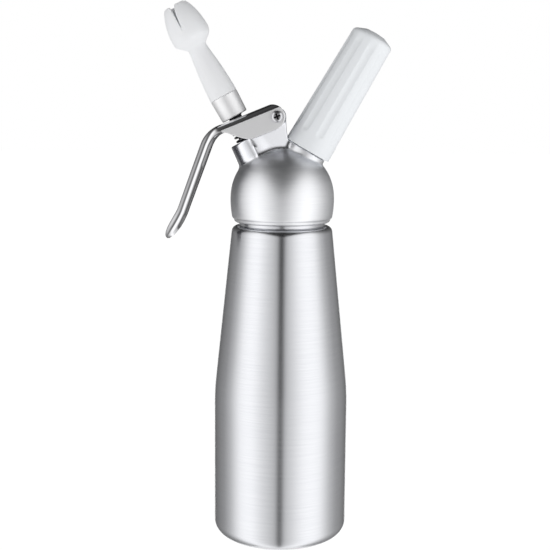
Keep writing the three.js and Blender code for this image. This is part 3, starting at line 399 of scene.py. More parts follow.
def coiled(radius, climb, turns, section, steps=36, run_out=0.0):
    """A bar of a given section along a helix, which runs out at both ends over a share of its length."""
    count = int(turns * steps)
    points = []
    for i in range(count + 1):
        share = i / count
        reach = min(1, share / run_out, (1 - share) / run_out) if run_out else 1
        angle = 2 * math.pi * turns * share
        for outward, upward in section:
            r = radius + outward * max(reach, 0.05)
            points.append((r * math.cos(angle), r * math.sin(angle), climb(turns * share) + upward))
    sides = len(section)
    faces = [list(range(sides))[::-1], list(range(count * sides, (count + 1) * sides))]
    for i in range(count):
        for k in range(sides):
            after = (k + 1) % sides
            faces.append([i * sides + k, i * sides + after, (i + 1) * sides + after, (i + 1) * sides + k])
    return points, faces


# The frames of the leaning parts, in millimetres: the valve leans left, the charger's inlet leans
# right, and the lever's frame starts at its pivot
VALVE = Matrix.Translation((0, 0, 201.4)) @ Matrix.Rotation(math.radians(-29), 4, "Y")
INLET = Matrix.Translation((0, 0, 207.9)) @ Matrix.Rotation(math.radians(30), 4, "Y")
PIVOT = VALVE @ Vector((21.8, 0, 46.2))
BAND_ANGLE = math.radians(22.4)
LEVER = Matrix((
    (-math.cos(BAND_ANGLE), 0, -math.sin(BAND_ANGLE), PIVOT.x),
    (0, -1, 0, 0),
    (-math.sin(BAND_ANGLE), 0, math.cos(BAND_ANGLE), PIVOT.z),
    (0, 0, 0, 1),
))


def piece(name, shape, material, body, replaces=(), place=None, sharp=40):
    """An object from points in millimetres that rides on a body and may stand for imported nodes."""
    points, faces = shape
    if place:
        points = [place @ Vector(p) for p in points]
    mesh = bpy.data.meshes.new(name)
    mesh.from_pydata([tuple(Vector(p) * MM) for p in points], [], faces)
    mesh.update()
    mesh.validate()
    mesh.shade_smooth()
    mesh.set_sharp_from_angle(angle=math.radians(sharp))
    mesh.materials.append(material)
    thing = bpy.data.objects.new(name, mesh)
    bpy.context.scene.collection.objects.link(thing)
    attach(thing, body)
    if replaces:
        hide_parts(*replaces)
    print(f"{name}: {len(mesh.polygons)} faces")
    return thing


print("pivot at", [round(c, 1) for c in PIVOT], "mm")

# %% [markdown]
# ## From a field to a cast, moulded or pressed piece
# A casting has fillets wherever two of its bodies meet, and a pressed sheet has a rounded bend along
# every fold. Both are awkward to model face by face. A distance field makes them simple: it is a
# function that says how far any point is from the surface, negative inside. The smaller of two fields
# joins two bodies, and a soft minimum joins them with a fillet. The surface is then picked out of a
# grid, and each point is moved onto the exact field.


# %% Fields
def outline_field(a, b, outline):
    """Distance to a flat outline, negative inside."""
    nearest = np.full(a.shape, 1e9, np.float32)
    inside = np.zeros(a.shape, bool)
    for (a0, b0), (a1, b1) in zip(outline, outline[1:] + outline[:1]):
        da, db = a1 - a0, b1 - b0
        if da == 0 and db == 0:
            continue
        share = np.clip(((a - a0) * da + (b - b0) * db) / (da * da + db * db), 0, 1)
        nearest = np.minimum(nearest, (a - a0 - share * da) ** 2 + (b - b0 - share * db) ** 2)
        if db != 0:
            inside ^= ((b0 <= b) != (b1 <= b)) & (a < a0 + (b - b0) / db * da)
    return np.where(inside, -1, 1) * np.sqrt(nearest)


def mirrored(profile):
    """A profile on one side of an axis, with its other side, as one closed outline."""
    right = [tuple(p[:2]) for p in profile]
    return right + [(-a, b) for a, b in reversed(right)]


def rounded_both(first, second, radius):
    """Where two fields are both inside, with the edge between them rounded."""
    a, b = first + radius, second + radius
    return np.minimum(np.maximum(a, b), 0) + np.hypot(np.maximum(a, 0), np.maximum(b, 0)) - radius


def soft_join(first, second, width):
    """Two bodies joined with a fillet."""
    share = np.clip(0.5 + 0.5 * (second - first) / width, 0, 1)
    return second + (first - second) * share - width * share * (1 - share)


def soft_cut(body, tool, width):
    """A body less a tool, with a slightly rounded edge."""
    return -soft_join(-body, tool, width)


def local(x, y, z, place):
    """Grid points as they are in a leaning frame."""
    back = place.inverted()
    return [back[i][0] * x + back[i][1] * y + back[i][2] * z + back[i][3] for i in range(3)]


SEARCHES, TINY = 3, 0.02


def skinned(field, low, high, step):
    """Points and faces of a field's surface inside a box, in millimetres."""
    grid_axes = [np.arange(lo, hi + step, step, dtype=np.float32) for lo, hi in zip(low, high)]
    value = np.concatenate([
        field(*np.meshgrid(grid_axes[0][i:i + 16], grid_axes[1], grid_axes[2], indexing="ij"))
        for i in range(0, len(grid_axes[0]), 16)
    ])
    inside = value < 0
    shape = np.array(value.shape) - 1
    total = np.zeros(tuple(shape) + (3,), np.float32)
    count = np.zeros(tuple(shape), np.float32)
    cells = lambda offset: tuple(slice(o, o + n) for o, n in zip(offset, shape))
    # Each cell that the surface passes gets one point, the mean of where it crosses the cell's edges
    for axis in range(3):
        others = [k for k in range(3) if k != axis]
        for corner in range(4):
            start = [0, 0, 0]
            start[others[0]], start[others[1]] = corner & 1, corner >> 1
            end = list(start)
            end[axis] = 1
            v0, v1 = value[cells(start)], value[cells(end)]
            crossing = inside[cells(start)] != inside[cells(end)]
            share = np.where(crossing, v0 / np.where(crossing, v0 - v1, 1), 0)
            for k in range(3):
                total[..., k] += crossing * (share if k == axis else start[k])
            count += crossing
    active = count > 0
    number = np.full(active.shape, -1, np.int64)
    number[active] = np.arange(active.sum())
    base = np.stack(np.nonzero(active), 1)
    points = (base + total[active] / count[active][:, None]) * step + np.array(low, np.float32)
    faces = []
    # Each grid edge that the surface crosses gets one face, between the four cells around that edge
    for axis in range(3):
        u, v = (axis + 1) % 3, (axis + 2) % 3
        one = [slice(1, n) for n in shape]
        one[axis] = slice(0, shape[axis])
        two = list(one)
        two[axis] = slice(1, shape[axis] + 1)
        a, b = inside[tuple(one)], inside[tuple(two)]
        for flip, crossed in ((False, a & ~b), (True, ~a & b)):
            at = np.stack(np.nonzero(crossed), 1)
            at[:, u] += 1
            at[:, v] += 1
            du, dv = np.eye(3, dtype=int)[u], np.eye(3, dtype=int)[v]
            loop = [number[tuple((at - q).T)] for q in (du + dv, dv, 0 * du, du)]
            quads = np.stack(loop[::-1] if flip else loop, 1)
            faces.extend(quads.tolist())
    # A few steps along the field's slope carry each point onto the exact surface
    for _ in range(SEARCHES):
        middle = field(*points.T)
        slope = np.stack([
            (field(*(points + aside).T) - field(*(points - aside).T)) / (2 * TINY)
            for aside in TINY * np.eye(3)
        ], 1)
        move = -middle[:, None] * slope / np.maximum((slope ** 2).sum(1), 0.25)[:, None]
        points = points + np.clip(move, -0.4 * step, 0.4 * step)
    return points.tolist(), faces


def flowing(points, steps):
    """A smooth line through points."""
    p = np.array(points, float)
    p = np.concatenate([2 * p[:1] - p[1:2], p, 2 * p[-1:] - p[-2:-1]])
    line = []
    for i in range(1, len(p) - 2):
        for t in np.arange(steps) / steps:
            line.append(tuple(0.5 * (
                2 * p[i] + (p[i + 1] - p[i - 1]) * t
                + (2 * p[i - 1] - 5 * p[i] + 4 * p[i + 1] - p[i + 2]) * t ** 2
                + (3 * p[i] - p[i - 1] - 3 * p[i + 1] + p[i + 2]) * t ** 3
            )))
    return line + [tuple(p[-2])]


def bow(a, b, radius, start, end, steps):
    """Points of an arc, with its angles in degrees."""
    return [
        (a + radius * math.cos(math.radians(t)), b + radius * math.sin(math.radians(t)))
        for t in np.linspace(start, end, steps + 1)
    ]


print("fields ready")

# %% [markdown]
# ## The bottle
# The bottle is drawn from one disc of aluminium: a straight lower half, a long cone, and a tight round
# at the shoulder. Above it a bright ring of the neck shows under the head, and the neck's thread is
# hidden in the head.

# %% Bottle
BOTTLE_RADIUS, BOTTLE_WALL = 40, 1.6
BASE_ROUND, SHOULDER_ROUND = 7.8, 4.0
CONE_START, CONE_EASE, CONE_TOP, CONE_TOP_RADIUS = 80, 18, 182, 30.3
CONE_SLOPE = (BOTTLE_RADIUS - CONE_TOP_RADIUS) / (CONE_TOP - CONE_START - CONE_EASE / 2)
SHOULDER_TOP, NECK_TOP, NECK_RADIUS = 188.5, 206, 24.4
BOTTLE_PITCH = 3


def bottle_side(inset, steps):
    """The bottle's side from base to shoulder, set in by a wall, and the cone's last radius and height."""
    side = bow(BOTTLE_RADIUS - BASE_ROUND, BASE_ROUND, BASE_ROUND - inset, -90, 0, steps)
    radius = BOTTLE_RADIUS - inset
    for share in np.linspace(0, 1, steps):
        side.append((radius - CONE_SLOPE * CONE_EASE * share ** 2 / 2, CONE_START + CONE_EASE * share))
    last_height = SHOULDER_TOP - SHOULDER_ROUND - inset
    last_radius = radius - CONE_SLOPE * (last_height - CONE_START - CONE_EASE / 2)
    side.append((last_radius, last_height))
    return side, last_radius, last_height


outside, radius, height = bottle_side(0, 10)
profile = [(0, 0)] + outside + bow(radius - SHOULDER_ROUND, height, SHOULDER_ROUND, 0, 90, 8)[1:]
profile += softened([
    (25.5, SHOULDER_TOP, 0.4), (25.5, 191.7, 0.3), (NECK_RADIUS, 191.7, 0.2), (NECK_RADIUS, NECK_TOP, 0.5),
    (22.5, NECK_TOP, 0.5), (22.5, 185.3),
], 0.2)
inside, radius, height = bottle_side(BOTTLE_WALL, 6)
profile += bow(radius - SHOULDER_ROUND, height, SHOULDER_ROUND, 90, 0, 5)[1:-1] + inside[::-1]
profile += [(0, BOTTLE_WALL)]
piece("bottle_body", turned(profile, 128), bottle_aluminium, "bottle", ("bottle",))
NECK_RIDGE = [(-0.4, -0.9), (1.1, -0.35), (1.1, 0.35), (-0.4, 0.9)]
neck_thread = coiled(NECK_RADIUS, lambda turn: 192.45 + BOTTLE_PITCH * turn, 2.5, NECK_RIDGE, 72, 0.12)
piece("bottle_thread", neck_thread, bottle_aluminium, "bottle")

# %% [markdown]
# ## The head
# The head is an aluminium casting: a dome, the housing of the valve leaning left, a boss for the
# charger leaning right, a web between them and a barrel for the pivot. It was cast in one, so its
# bodies meet in small fillets.

# %% Head casting
# The dome is widest a little above its rim. Above that it is slightly fuller than an ellipse.
DOME_RADIUS, DOME_RISE, DOME_MIDDLE, DOME_FULLNESS = 30.6, 30.2, 203.9, 2.15
RIM_ELLIPSE = 41
dome_side = bow(26.6, 192.5, 2.0, -90, 0, 5)
dome_side += [
    (DOME_RADIUS * math.sqrt(1 - ((DOME_MIDDLE - z) / RIM_ELLIPSE) ** 2), z)
    for z in np.linspace(193.5, 203.0, 6)
]
for t in np.radians(np.linspace(1, 90, 26)):
    across, rise = math.cos(t) ** (2 / DOME_FULLNESS), math.sin(t) ** (2 / DOME_FULLNESS)
    dome_side.append((DOME_RADIUS * across, DOME_MIDDLE + DOME_RISE * rise))
DOME = mirrored([(0, 190.5)] + dome_side)
HEAD_HOLLOW = mirrored([
    (0, 186), (28, 186), (26.6, 190.5), (25.9, 191.2), (25.9, 208.9), (21.1, 208.9), (21.1, 216.3),
    *bow(0, DOME_MIDDLE, 24.5, 30.5, 90, 8),
])
HOUSING = mirrored(softened([(0, 0), (14.4, 0), (10.55, 43.3, 0.7), (0, 43.3)], 0.3))
HOUSING_BORE = mirrored([
    (0, 20), (7.4, 20), (7.4, 27), (4.7, 27), (4.7, 30.6), (6.4, 30.6), (6.4, 34.1), (7.6, 34.1), (7.6, 50),
    (0, 50),
])
BOSS = mirrored(softened([(0, 0), (12, 0), (12, 28.7, 0.4), (10.7, 28.7), (10.7, 41, 0.4), (0, 41)], 0.2))
BOSS_BORE = mirrored([(0, 15), (3.8, 15), (3.8, 32.5), (5, 32.5), (5, 50), (0, 50)])
BARREL_RADIUS, BARREL_BORE, BARREL_HALF_LENGTH = 5, 2.5, 11.1
WEB = [
    (0, DOME_MIDDLE), (-9.7, 218.9), (-20.8, 239.0), (-13.0, 243.4), (-13.8, 246.9),
    *bow(PIVOT.x, PIVOT.z, BARREL_RADIUS, 180, 0, 8), (2.4, 243), (3.6, 238.5), (14.2, 232.2),
]
# The web is as wide as the room between the lever's cheeks, and its flanks draw in towards the pivot
WEB_HALF_WIDTH, FLANK_ANGLE = 11.2, math.radians(15)
CHEEKS_LOWEST = 235.5


def head_field(x, y, z):
    """The head's casting with its hollow and its bores."""
    across = np.hypot(x, y)
    vx, vy, vz = local(x, y, z, VALVE)
    ix, iy, iz = local(x, y, z, INLET)
    valve_across, inlet_across = np.hypot(vx, vy), np.hypot(ix, iy)
    casting = soft_join(outline_field(across, z, DOME), outline_field(valve_across, vz, HOUSING), 2.0)
    casting = soft_join(casting, outline_field(inlet_across, iz, BOSS), 0.8)
    flank = np.abs(vy) * math.cos(FLANK_ANGLE) + vx * math.sin(FLANK_ANGLE) - WEB_HALF_WIDTH
    flank = np.maximum(flank, 2.2 - vx)
    casting = soft_join(casting, rounded_both(outline_field(x, z, WEB), flank, 0.4), 2.5)
    # The lever's cheeks come down on both sides of the housing when it is squeezed, so it is flat there
    casting = np.maximum(casting, np.abs(y) - WEB_HALF_WIDTH - 1.5 * np.maximum(CHEEKS_LOWEST - z, 0))
    off_pivot = np.hypot(x - PIVOT.x, z - PIVOT.z)
    barrel = rounded_both(off_pivot - BARREL_RADIUS, np.abs(y) - BARREL_HALF_LENGTH, 0.6)
    casting = soft_join(casting, barrel, 1.0)
    tool = np.minimum(outline_field(across, z, HEAD_HOLLOW), outline_field(valve_across, vz, HOUSING_BORE))
    tool = np.minimum(tool, outline_field(inlet_across, iz, BOSS_BORE))
    return soft_cut(casting, np.minimum(tool, off_pivot - BARREL_BORE), 0.35)


head = skinned(head_field, (-34, -32, 189), (34, 32, 260), 0.6)
casting = piece("head_body", head, head_aluminium, "head", ("head_casting",), sharp=50)
# What stands on the dome, apart from the boss, was machined after the blasting, so it is smoother than
# the dome
casting.data.materials.append(machined_aluminium)
for face in casting.data.polygons:
    x, y, z = face.center / MM
    across, rise = math.hypot(x, y) / DOME_RADIUS, abs(z - DOME_MIDDLE) / DOME_RISE
    off_dome = across ** DOME_FULLNESS + rise ** DOME_FULLNESS > 1.05
    inlet_x, inlet_y, _ = local(x, y, z, INLET)
    on_boss = math.hypot(inlet_x, inlet_y) < 12.3
    face.material_index = 1 if off_dome and z > 212 and not on_boss else 0
HEAD_RIDGE = [(0.4, 0.9), (-1.1, 0.35), (-1.1, -0.35), (0.4, -0.9)]
head_thread = coiled(25.9, lambda turn: 193.95 + BOTTLE_PITCH * turn, 2.2, HEAD_RIDGE, 72, 0.12)
piece("head_thread", head_thread, head_aluminium, "head")
HOLDER_PITCH = 2.5
BOSS_RIDGE = [(-0.4, -0.7), (0.7, -0.25), (0.7, 0.25), (-0.4, 0.7)]
boss_thread = coiled(10.7, lambda turn: 29.8 + HOLDER_PITCH * turn, 3.4, BOSS_RIDGE, 36, 0.12)
piece("boss_thread", boss_thread, head_aluminium, "head", place=INLET)

# %% [markdown]
# ## The lever
# The lever is pressed from stainless sheet 1.5 mm thick into a channel: a flat band with two cheeks
# that straddle the valve housing, then a bend and a narrower handle. The band comes first. Its folds
# have an outer radius of 4 mm and show as a dark polished strip. The field is a rounded solid less the
# same solid one sheet smaller.

# %% Lever
# All places are measured from the pivot, along the band and up from it. The handle turns down from the
# band by TURN degrees. Without the bend their lines would meet in CORNER.
BAND_TOP, BAND_HALF_WIDTH, HANDLE_HALF_WIDTH, CHEEK_LOW = 7.95, 12.9, 9.5, -6.6
SHEET, FOLD_RADIUS = 1.5, 4.0
CORNER_ALONG, TURN, BEND_RADIUS = 41.7, 47.5, 18
BEND_START = CORNER_ALONG - math.tan(math.radians(TURN / 2)) * BEND_RADIUS
CORNER = Vector((CORNER_ALONG, BAND_TOP))
HANDLE = Vector((math.cos(math.radians(TURN)), -math.sin(math.radians(TURN))))
FLARE_CORNER = CORNER + HANDLE * 49.2


def bend_line(inset):
    """The line of the bend's outside, set in by a depth."""
    return bow(BEND_START, BAND_TOP - BEND_RADIUS, BEND_RADIUS - inset, 90, 90 - TURN, 14)


CHEEK_EDGE = flowing([
    (32.5, 3.3), (30.0, 1.7), (27.1, -0.9), (23.8, -3.5), (20.9, -5.4), (18.8, -6.3), (16.7, CHEEK_LOW),
    (12, CHEEK_LOW), (8, CHEEK_LOW),
], 4)
BAND_SIDE = bow(2.6, 0.675, 7.275, 270, 90, 24) + bend_line(0) + bend_line(5.2)[::-1] + CHEEK_EDGE
UNDER_BAND = [(-30, BAND_TOP)] + bend_line(0) + [(60, -80), (-30, -80)]
# Seen from the front the sheet keeps the band's width down to the cheeks' edge, then it narrows
BAND_FRONT = mirrored([
    (0, 20), (BAND_HALF_WIDTH, 20), (BAND_HALF_WIDTH, CHEEK_LOW), (HANDLE_HALF_WIDTH, FLARE_CORNER.y),
    (0, FLARE_CORNER.y),
])


def lever_field(along, across, up):
    """The band and its cheeks, with the slot for the stem and the bore for the pivot screw."""
    depth = outline_field(along, up, UNDER_BAND)
    aside = outline_field(across, up, BAND_FRONT)
    solid = rounded_both(rounded_both(depth, aside, FOLD_RADIUS), outline_field(along, up, BAND_SIDE), 0.3)
    solid = np.maximum(solid, along - BEND_START - 0.5)
    sheet = soft_cut(solid, rounded_both(depth + SHEET, aside + SHEET, FOLD_RADIUS - SHEET), 0.2)
    slot_along = np.maximum(np.abs(along - 22.05) - 0.95, 0)
    slot = np.maximum(np.hypot(slot_along, across) - 4.9, np.abs(up - 7) - 4)
    return soft_cut(sheet, np.minimum(slot, np.hypot(along, up) - 2.5), 0.3)


lever = skinned(lever_field, (-6.5, -14, -8), (34.8, 14, 9.5), 0.4)
pressing = piece(
    "lever_pressing", lever, polished_steel, "lever", ("lever",), LEVER, sharp=60,
)
pressing.data.materials.append(satin_steel)
for face in pressing.data.polygons:
    on_cheek = abs(face.normal.y) > 0.985
    face.material_index = 1 if on_cheek else 0

# %% [markdown]
# ## The lever's handle
# Past the bend the sheet is narrower, and nothing on it is sharp to the hand: the flat middle falls
# away to both sides, each side is a round, and the edges are turned in underneath, where the steel is
# rougher and painted dark grey, as painted shade. The handle bends outwards near its end and closes in
# a rounded tip. A section like that is easiest to sweep along its line.

# %% Handle
# Half of each section: how far from its middle, and how deep under the outside
BAND_HALF = [(x, 0) for x in (0, 3, 6)] + bow(8.9, 4, 4, -90, 0, 12)
BAND_HALF += [(BAND_HALF_WIDTH, t) for t in (4.2, 4.4, 4.6, 4.8, 5, 5.2)]
HANDLE_HALF = [
    (0, 0), (2.5, 0), (4, 0.02), (4.5, 0.3), (5.1, 0.8), (5.7, 1.3), (6.3, 1.75), (6.9, 2), (7.7, 2.2),
    (8.4, 2.4), (8.7, 2.65), (8.9, 2.9), (9.1, 3.2), (9.3, 3.5), (9.4, 3.7), (9.42, 3.8), (9.36, 4.4),
    (9.29, 5.1), (8.7, 5.12), (8, 5.14), (6.4, 5.17), (4.4, 5.2),
]
BAND_INSIDE = [(11.4, 5.2), (11.4, 4.6)] + bow(8.9, 4, 2.5, 0, -90, 6) + [(4, 1.5), (0, 1.5)]
HANDLE_INSIDE = [(3.4, 5.2), (3.4, 4.6)] + bow(1.9, 3.3, 1.5, 0, -90, 6) + [(1, 1.8), (0, 1.8)]
SECTION_DEPTH, SECTION_CHANGE, PAINTED_SHADE_POINTS = 5.2, 13, 5

FLARE, FLARE_RADIUS = 10.0, 26
FLARED = Vector((math.cos(math.radians(TURN - FLARE)), -math.sin(math.radians(TURN - FLARE))))
TIP_STARTS, TIP_AT = 7, 18.17
BEFORE_FLARE = -50


def handle_line(length):
    """A point of the handle's outside, the way into it, and how far it is past the flare's corner."""
    bend = BEND_RADIUS * math.radians(TURN)
    if length < bend:
        angle = math.pi / 2 - max(length, 0) / BEND_RADIUS
        way = Vector((-math.cos(angle), -math.sin(angle)))
        middle = Vector((BEND_START + min(length, 0), BAND_TOP - BEND_RADIUS))
        return middle - way * BEND_RADIUS, way, BEFORE_FLARE
    way = Vector((HANDLE.y, -HANDLE.x))
    past_bend = CORNER + HANDLE * math.tan(math.radians(TURN / 2)) * BEND_RADIUS
    flare_start = FLARE_CORNER - HANDLE * math.tan(math.radians(FLARE / 2)) * FLARE_RADIUS
    straight = (flare_start - past_bend).length
    if length < bend + straight:
        return past_bend + HANDLE * (length - bend), way, BEFORE_FLARE
    turned_by = min((length - bend - straight) / FLARE_RADIUS, math.radians(FLARE))
    way_now = Matrix.Rotation(turned_by, 2) @ way
    point = flare_start - way * FLARE_RADIUS + way_now * FLARE_RADIUS
    rest = length - bend - straight - FLARE_RADIUS * turned_by
    point = point + Vector((-way_now.y, way_now.x)) * rest
    return point, way_now, (point - FLARE_CORNER).dot(FLARED)


def handle_section(length):
    """The closed section of the handle at a length, as points of the lever's frame."""
    point, way, past = handle_line(length)
    # How far the band's section has become the handle's, and how much wider than drawn it is here
    share = min(max(length, 0) / SECTION_CHANGE, 1)
    share = share * share * (3 - 2 * share)
    widths = [HANDLE_HALF_WIDTH, BAND_HALF_WIDTH]
    wider = float(np.interp(point.y, [FLARE_CORNER.y, CHEEK_LOW], widths)) - 9.4
    # Towards the tip it narrows, its outside falls, its edge drops and rises, and its hollow is filled
    to_tip = min(max((past - TIP_STARTS) / (TIP_AT - TIP_STARTS), 0), 1)
    narrow = math.sqrt(1 - to_tip ** 2.2)
    top = 3.3 * (1 - math.sqrt(1 - to_tip ** 3))
    low = float(np.interp(past, [-2, 5, 9, 14, 17, TIP_AT], [1, 1.6, 1.6, 0.8, -0.7, -1.8]))
    low = SECTION_DEPTH + low * share
    filled = min(max((past - 2) / 9, 0), 1)
    half = []
    for (x0, t0), (x1, t1) in zip(BAND_HALF, HANDLE_HALF):
        x = x0 * (1 - share) + (x1 + wider * min(x1 / 5, 1)) * share
        t = t0 * (1 - share) + t1 * share
        half.append(((x + 0.02) * narrow, top - 0.02 + t / SECTION_DEPTH * (low - top)))
    for (x0, t0), (x1, t1) in zip(BAND_INSIDE, HANDLE_INSIDE):
        x = x0 * (1 - share) + (x1 + wider * min(x1 / 5, 1)) * share
        t = t0 * (1 - share) + t1 * share
        half.append((x * narrow, top + (t + (5.1 - t) * filled) / SECTION_DEPTH * (low - top)))
    loop = half + [(-x, t) for x, t in half[-2:0:-1]]
    return [(point.x + way.x * t, x, point.y + way.y * t) for x, t in loop]


# Even steps up to the tip, and ever smaller ones into its round
lengths = [-1 + k * 0.8 for k in range(200)]
lengths = [length for length in lengths if handle_line(length)[2] < 13]
while TIP_AT - handle_line(lengths[-1])[2] > 0.02:
    lengths.append(lengths[-1] + (TIP_AT - handle_line(lengths[-1])[2]) * 0.22 + 0.004)
sections = [handle_section(length) for length in lengths]
ring_size, outer_size = len(sections[0]), len(BAND_HALF)
handle_points = [point for section in sections for point in section]
handle_faces = []
for start in range(0, len(handle_points) - ring_size, ring_size):
    for k in range(ring_size):
        a, b = start + k, start + (k + 1) % ring_size
        handle_faces.append([a, b, b + ring_size, a + ring_size])
last = len(handle_points) - ring_size
handle_faces += [list(range(ring_size))[::-1], list(range(last, last + ring_size))]
handle = (handle_points, handle_faces)
grip = piece("lever_handle", handle, polished_steel, "lever", place=LEVER, sharp=50)
# The turned-in edges and the inside get the steel painted dark grey, as painted shade
grip.data.materials.append(painted_shade_grey_steel)
first, after = outer_size - PAINTED_SHADE_POINTS, ring_size - outer_size + PAINTED_SHADE_POINTS
for face, k in zip(grip.data.polygons, list(range(ring_size)) * (len(sections) - 1)):
    face.material_index = 1 if first <= k < after else 0

# %% [markdown]
# ## The pivot screw and its nut
# A pan-head screw with a cross recess holds the lever. The recess is cut by two crossing wedges, and
# the far side has a small domed nut. The bottom of the recess is painted nearly black, as painted shade.

# %% Pivot screw and nut
SCREW = LEVER @ Matrix.Rotation(math.radians(-90), 4, "X")
SCREW_TOP = 15.1
SCREW_SIDE = mirrored(softened([
    (0, -14.1), (2.3, -14.1, 0.3), (2.3, 13.2, 0.1), (3.4, 13.2, 0.2), (3.4, 14.2, 0.9),
    (2.4, SCREW_TOP, 1.6), (0, SCREW_TOP),
], 0.2))


def recess_arm(a, b, depth):
    """One of the two wedges of the cross: it gets shorter and thinner as it gets deeper."""
    wedge = np.maximum(np.abs(a) - 1.9 + 0.5 * depth, np.abs(b) - 0.45 + 0.1 * depth)
    return np.maximum(wedge, depth - 1.3)


def screw_field(x, y, z):
    """The screw with its cross recess."""
    depth = SCREW_TOP - z
    cross = np.minimum(recess_arm(x, y, depth), recess_arm(y, x, depth))
    return soft_cut(outline_field(np.hypot(x, y), z, SCREW_SIDE), cross, 0.1)


screw_shape = skinned(screw_field, (-4, -4, -14.6), (4, 4, 15.6), 0.2)
screw = piece(
    "pivot_screw_body", screw_shape, turned_steel, "head", ("pivot_screw",), SCREW, sharp=50,
)
screw.data.materials.append(painted_shade_black_steel)
# Faces sunk in the cross recess get the steel painted nearly black, as painted shade
highest = max(abs(v.co.y) for v in screw.data.vertices)
for face in screw.data.polygons:
    off_axis = math.hypot(face.center.x - PIVOT.x * MM, face.center.z - PIVOT.z * MM)
    sunk = abs(face.center.y) < highest - 0.15 * MM
    in_head = face.center.y < -13.3 * MM
    face.material_index = 1 if in_head and sunk and off_axis < 2.0 * MM else 0
nut_profile = softened([
    (2.5, 13.2), (3.4, 13.2, 0.2), (3.4, 14.3, 0.7), (2.4, 15.0, 1.2), (0, 15.25), (0, 14.45), (2.5, 14.45),
], 0.15)
NUT = LEVER @ Matrix.Rotation(math.radians(90), 4, "X")
piece("pivot_nut_body", turned(nut_profile, 48), turned_steel, "head", ("pivot_nut",), NUT)

# %% [markdown]
# ## The valve
# The stem is turned from stainless steel and threaded at its top, where a few turns show between band
# and nozzle. The stem and its thread are painted nearly black, as painted shade under the nozzle base.
# A nut on it takes the lever's push, and a coil spring under the nut closes the valve again.

# %% Valve stem, nut and spring
stem_profile = softened([
    (0, 22.0), (6.8, 22.0, 0.4), (6.8, 24.0, 0.3), (4.3, 24.0, 0.1), (4.3, 54.34, 0.1), (3.85, 54.99, 0.1),
    (3.85, 68.35, 0.3), (2.2, 68.35, 0.3), (2.2, 27.8, 0.1), (0, 27.8),
], 0.2)
# The stem and its thread are painted nearly black, as painted shade under the nozzle base
piece("stem_body", turned(stem_profile, 40), painted_shade_black_steel, "valve", ("valve_stem",), VALVE)
STEM_RIDGE = [(-0.4, -0.65), (0.65, -0.2), (0.65, 0.2), (-0.4, 0.65)]
STEM_PITCH = 2
stem_thread = coiled(3.85, lambda turn: 55.94 + STEM_PITCH * turn, 5, STEM_RIDGE, 40, 0.12)
piece("stem_thread", stem_thread, painted_shade_black_steel, "valve", place=VALVE)
nut_side = softened([
    (4.7, 50.64), (6.4, 50.64, 0.3), (7.6, 51.84, 0.3), (7.6, 54.04, 0.4), (4.7, 54.19),
], 0.2)
piece("stem_nut_body", turned(nut_side, 48), nickel, "valve", ("stem_nut",), VALVE)

SPRING_START, SPRING_TURNS, SPRING_RADIUS, WIRE_RADIUS = 36.5, 6, 5.95, 0.6
END_PITCH, OPEN_PITCH = 1.75, 2.41


def spring_height(turn):
    """The height of the wire's middle, with the first and the last turn closer than the others."""
    opened = min(max(turn - 1, 0), SPRING_TURNS - 2)
    return SPRING_START + (turn - opened) * END_PITCH + opened * OPEN_PITCH


WIRE = bow(0, 0, WIRE_RADIUS, 0, 360, 12)[:-1]
coil = coiled(SPRING_RADIUS, spring_height, SPRING_TURNS, WIRE, 40)
spring = piece("spring_coil", coil, spring_steel, "valve", ("return_spring",), VALVE)
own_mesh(spring)

# %% [markdown]
# ## The nozzle base
# The base is bright aluminium with a fine straight knurl for grip. Its teeth are 0.9 mm wide and 0.06
# mm deep, which is real relief here: the radius rises and falls with the angle.

# %% Nozzle base
KNURL_COUNT, KNURL_DEPTH, KNURL_LOW, KNURL_TOP = 58, 0.06, 59.25, 70.4


def knurl(radius, height, angle):
    """How far the knurl draws the base's side in at a place."""
    if not KNURL_LOW < height < KNURL_TOP or radius < 7.9:
        return 0
    return -KNURL_DEPTH * abs(math.sin(0.5 * KNURL_COUNT * angle))


base_profile = softened([
    (4.8, 58.0), (7.6, 58.0, 0.3), (8.0, 58.4, 0.3), (8.02, 59.2, 0.05), (8.03, 59.3, 0.05),
    (8.38, 70.5, 0.05), (8.4, 70.7, 0.05), (8.4, 71.1, 0.15), (8.25, 71.38, 0.15), (6.5, 71.38),
    (6.5, 69.65), (4.8, 69.65),
], 0.2)
base = turned(base_profile, 6 * KNURL_COUNT, knurl)
piece("knurled_base", base, bright_aluminium, "nozzle", ("nozzle_base",), VALVE, sharp=70)

# %% [markdown]
# ## The tulip nozzle
# The nozzle is one white moulding: a tapering stem and a tulip of four petals that curl in and ridge
# the cream. Narrow slits part the petals, and each petal's tip is rounded.

# %% Tulip nozzle
TULIP_OUTSIDE = flowing([
    (8.4, 71.45), (8.2, 77), (7.45, 87), (6.35, 96), (5.7, 101.5), (5.9, 103.4), (7.3, 104.8), (9.2, 106.4),
    (10.85, 108.3), (11.5, 111.0), (11.4, 114.5), (11.05, 117.7), (10.4, 121), (9.45, 124.2), (8.3, 127.1),
    (7.1, 129.4),
], 5)
TULIP_INSIDE = [
    (6.6, 129.9), (5.9, 129.7), (7.0, 127), (8.2, 123.6), (9.2, 120), (9.8, 116.5), (9.9, 112),
    (9.2, 109.6), (6.5, 107.2), (2.6, 104.9),
]
TULIP_WALL = [(2.6, 69.95), (6.3, 69.95), (6.3, 71.45)] + TULIP_OUTSIDE + TULIP_INSIDE
SLIT_BOTTOM, PETAL_TOP = 114.9, 130.4
PETAL_COUNT, FIRST_SLIT = 4, -102


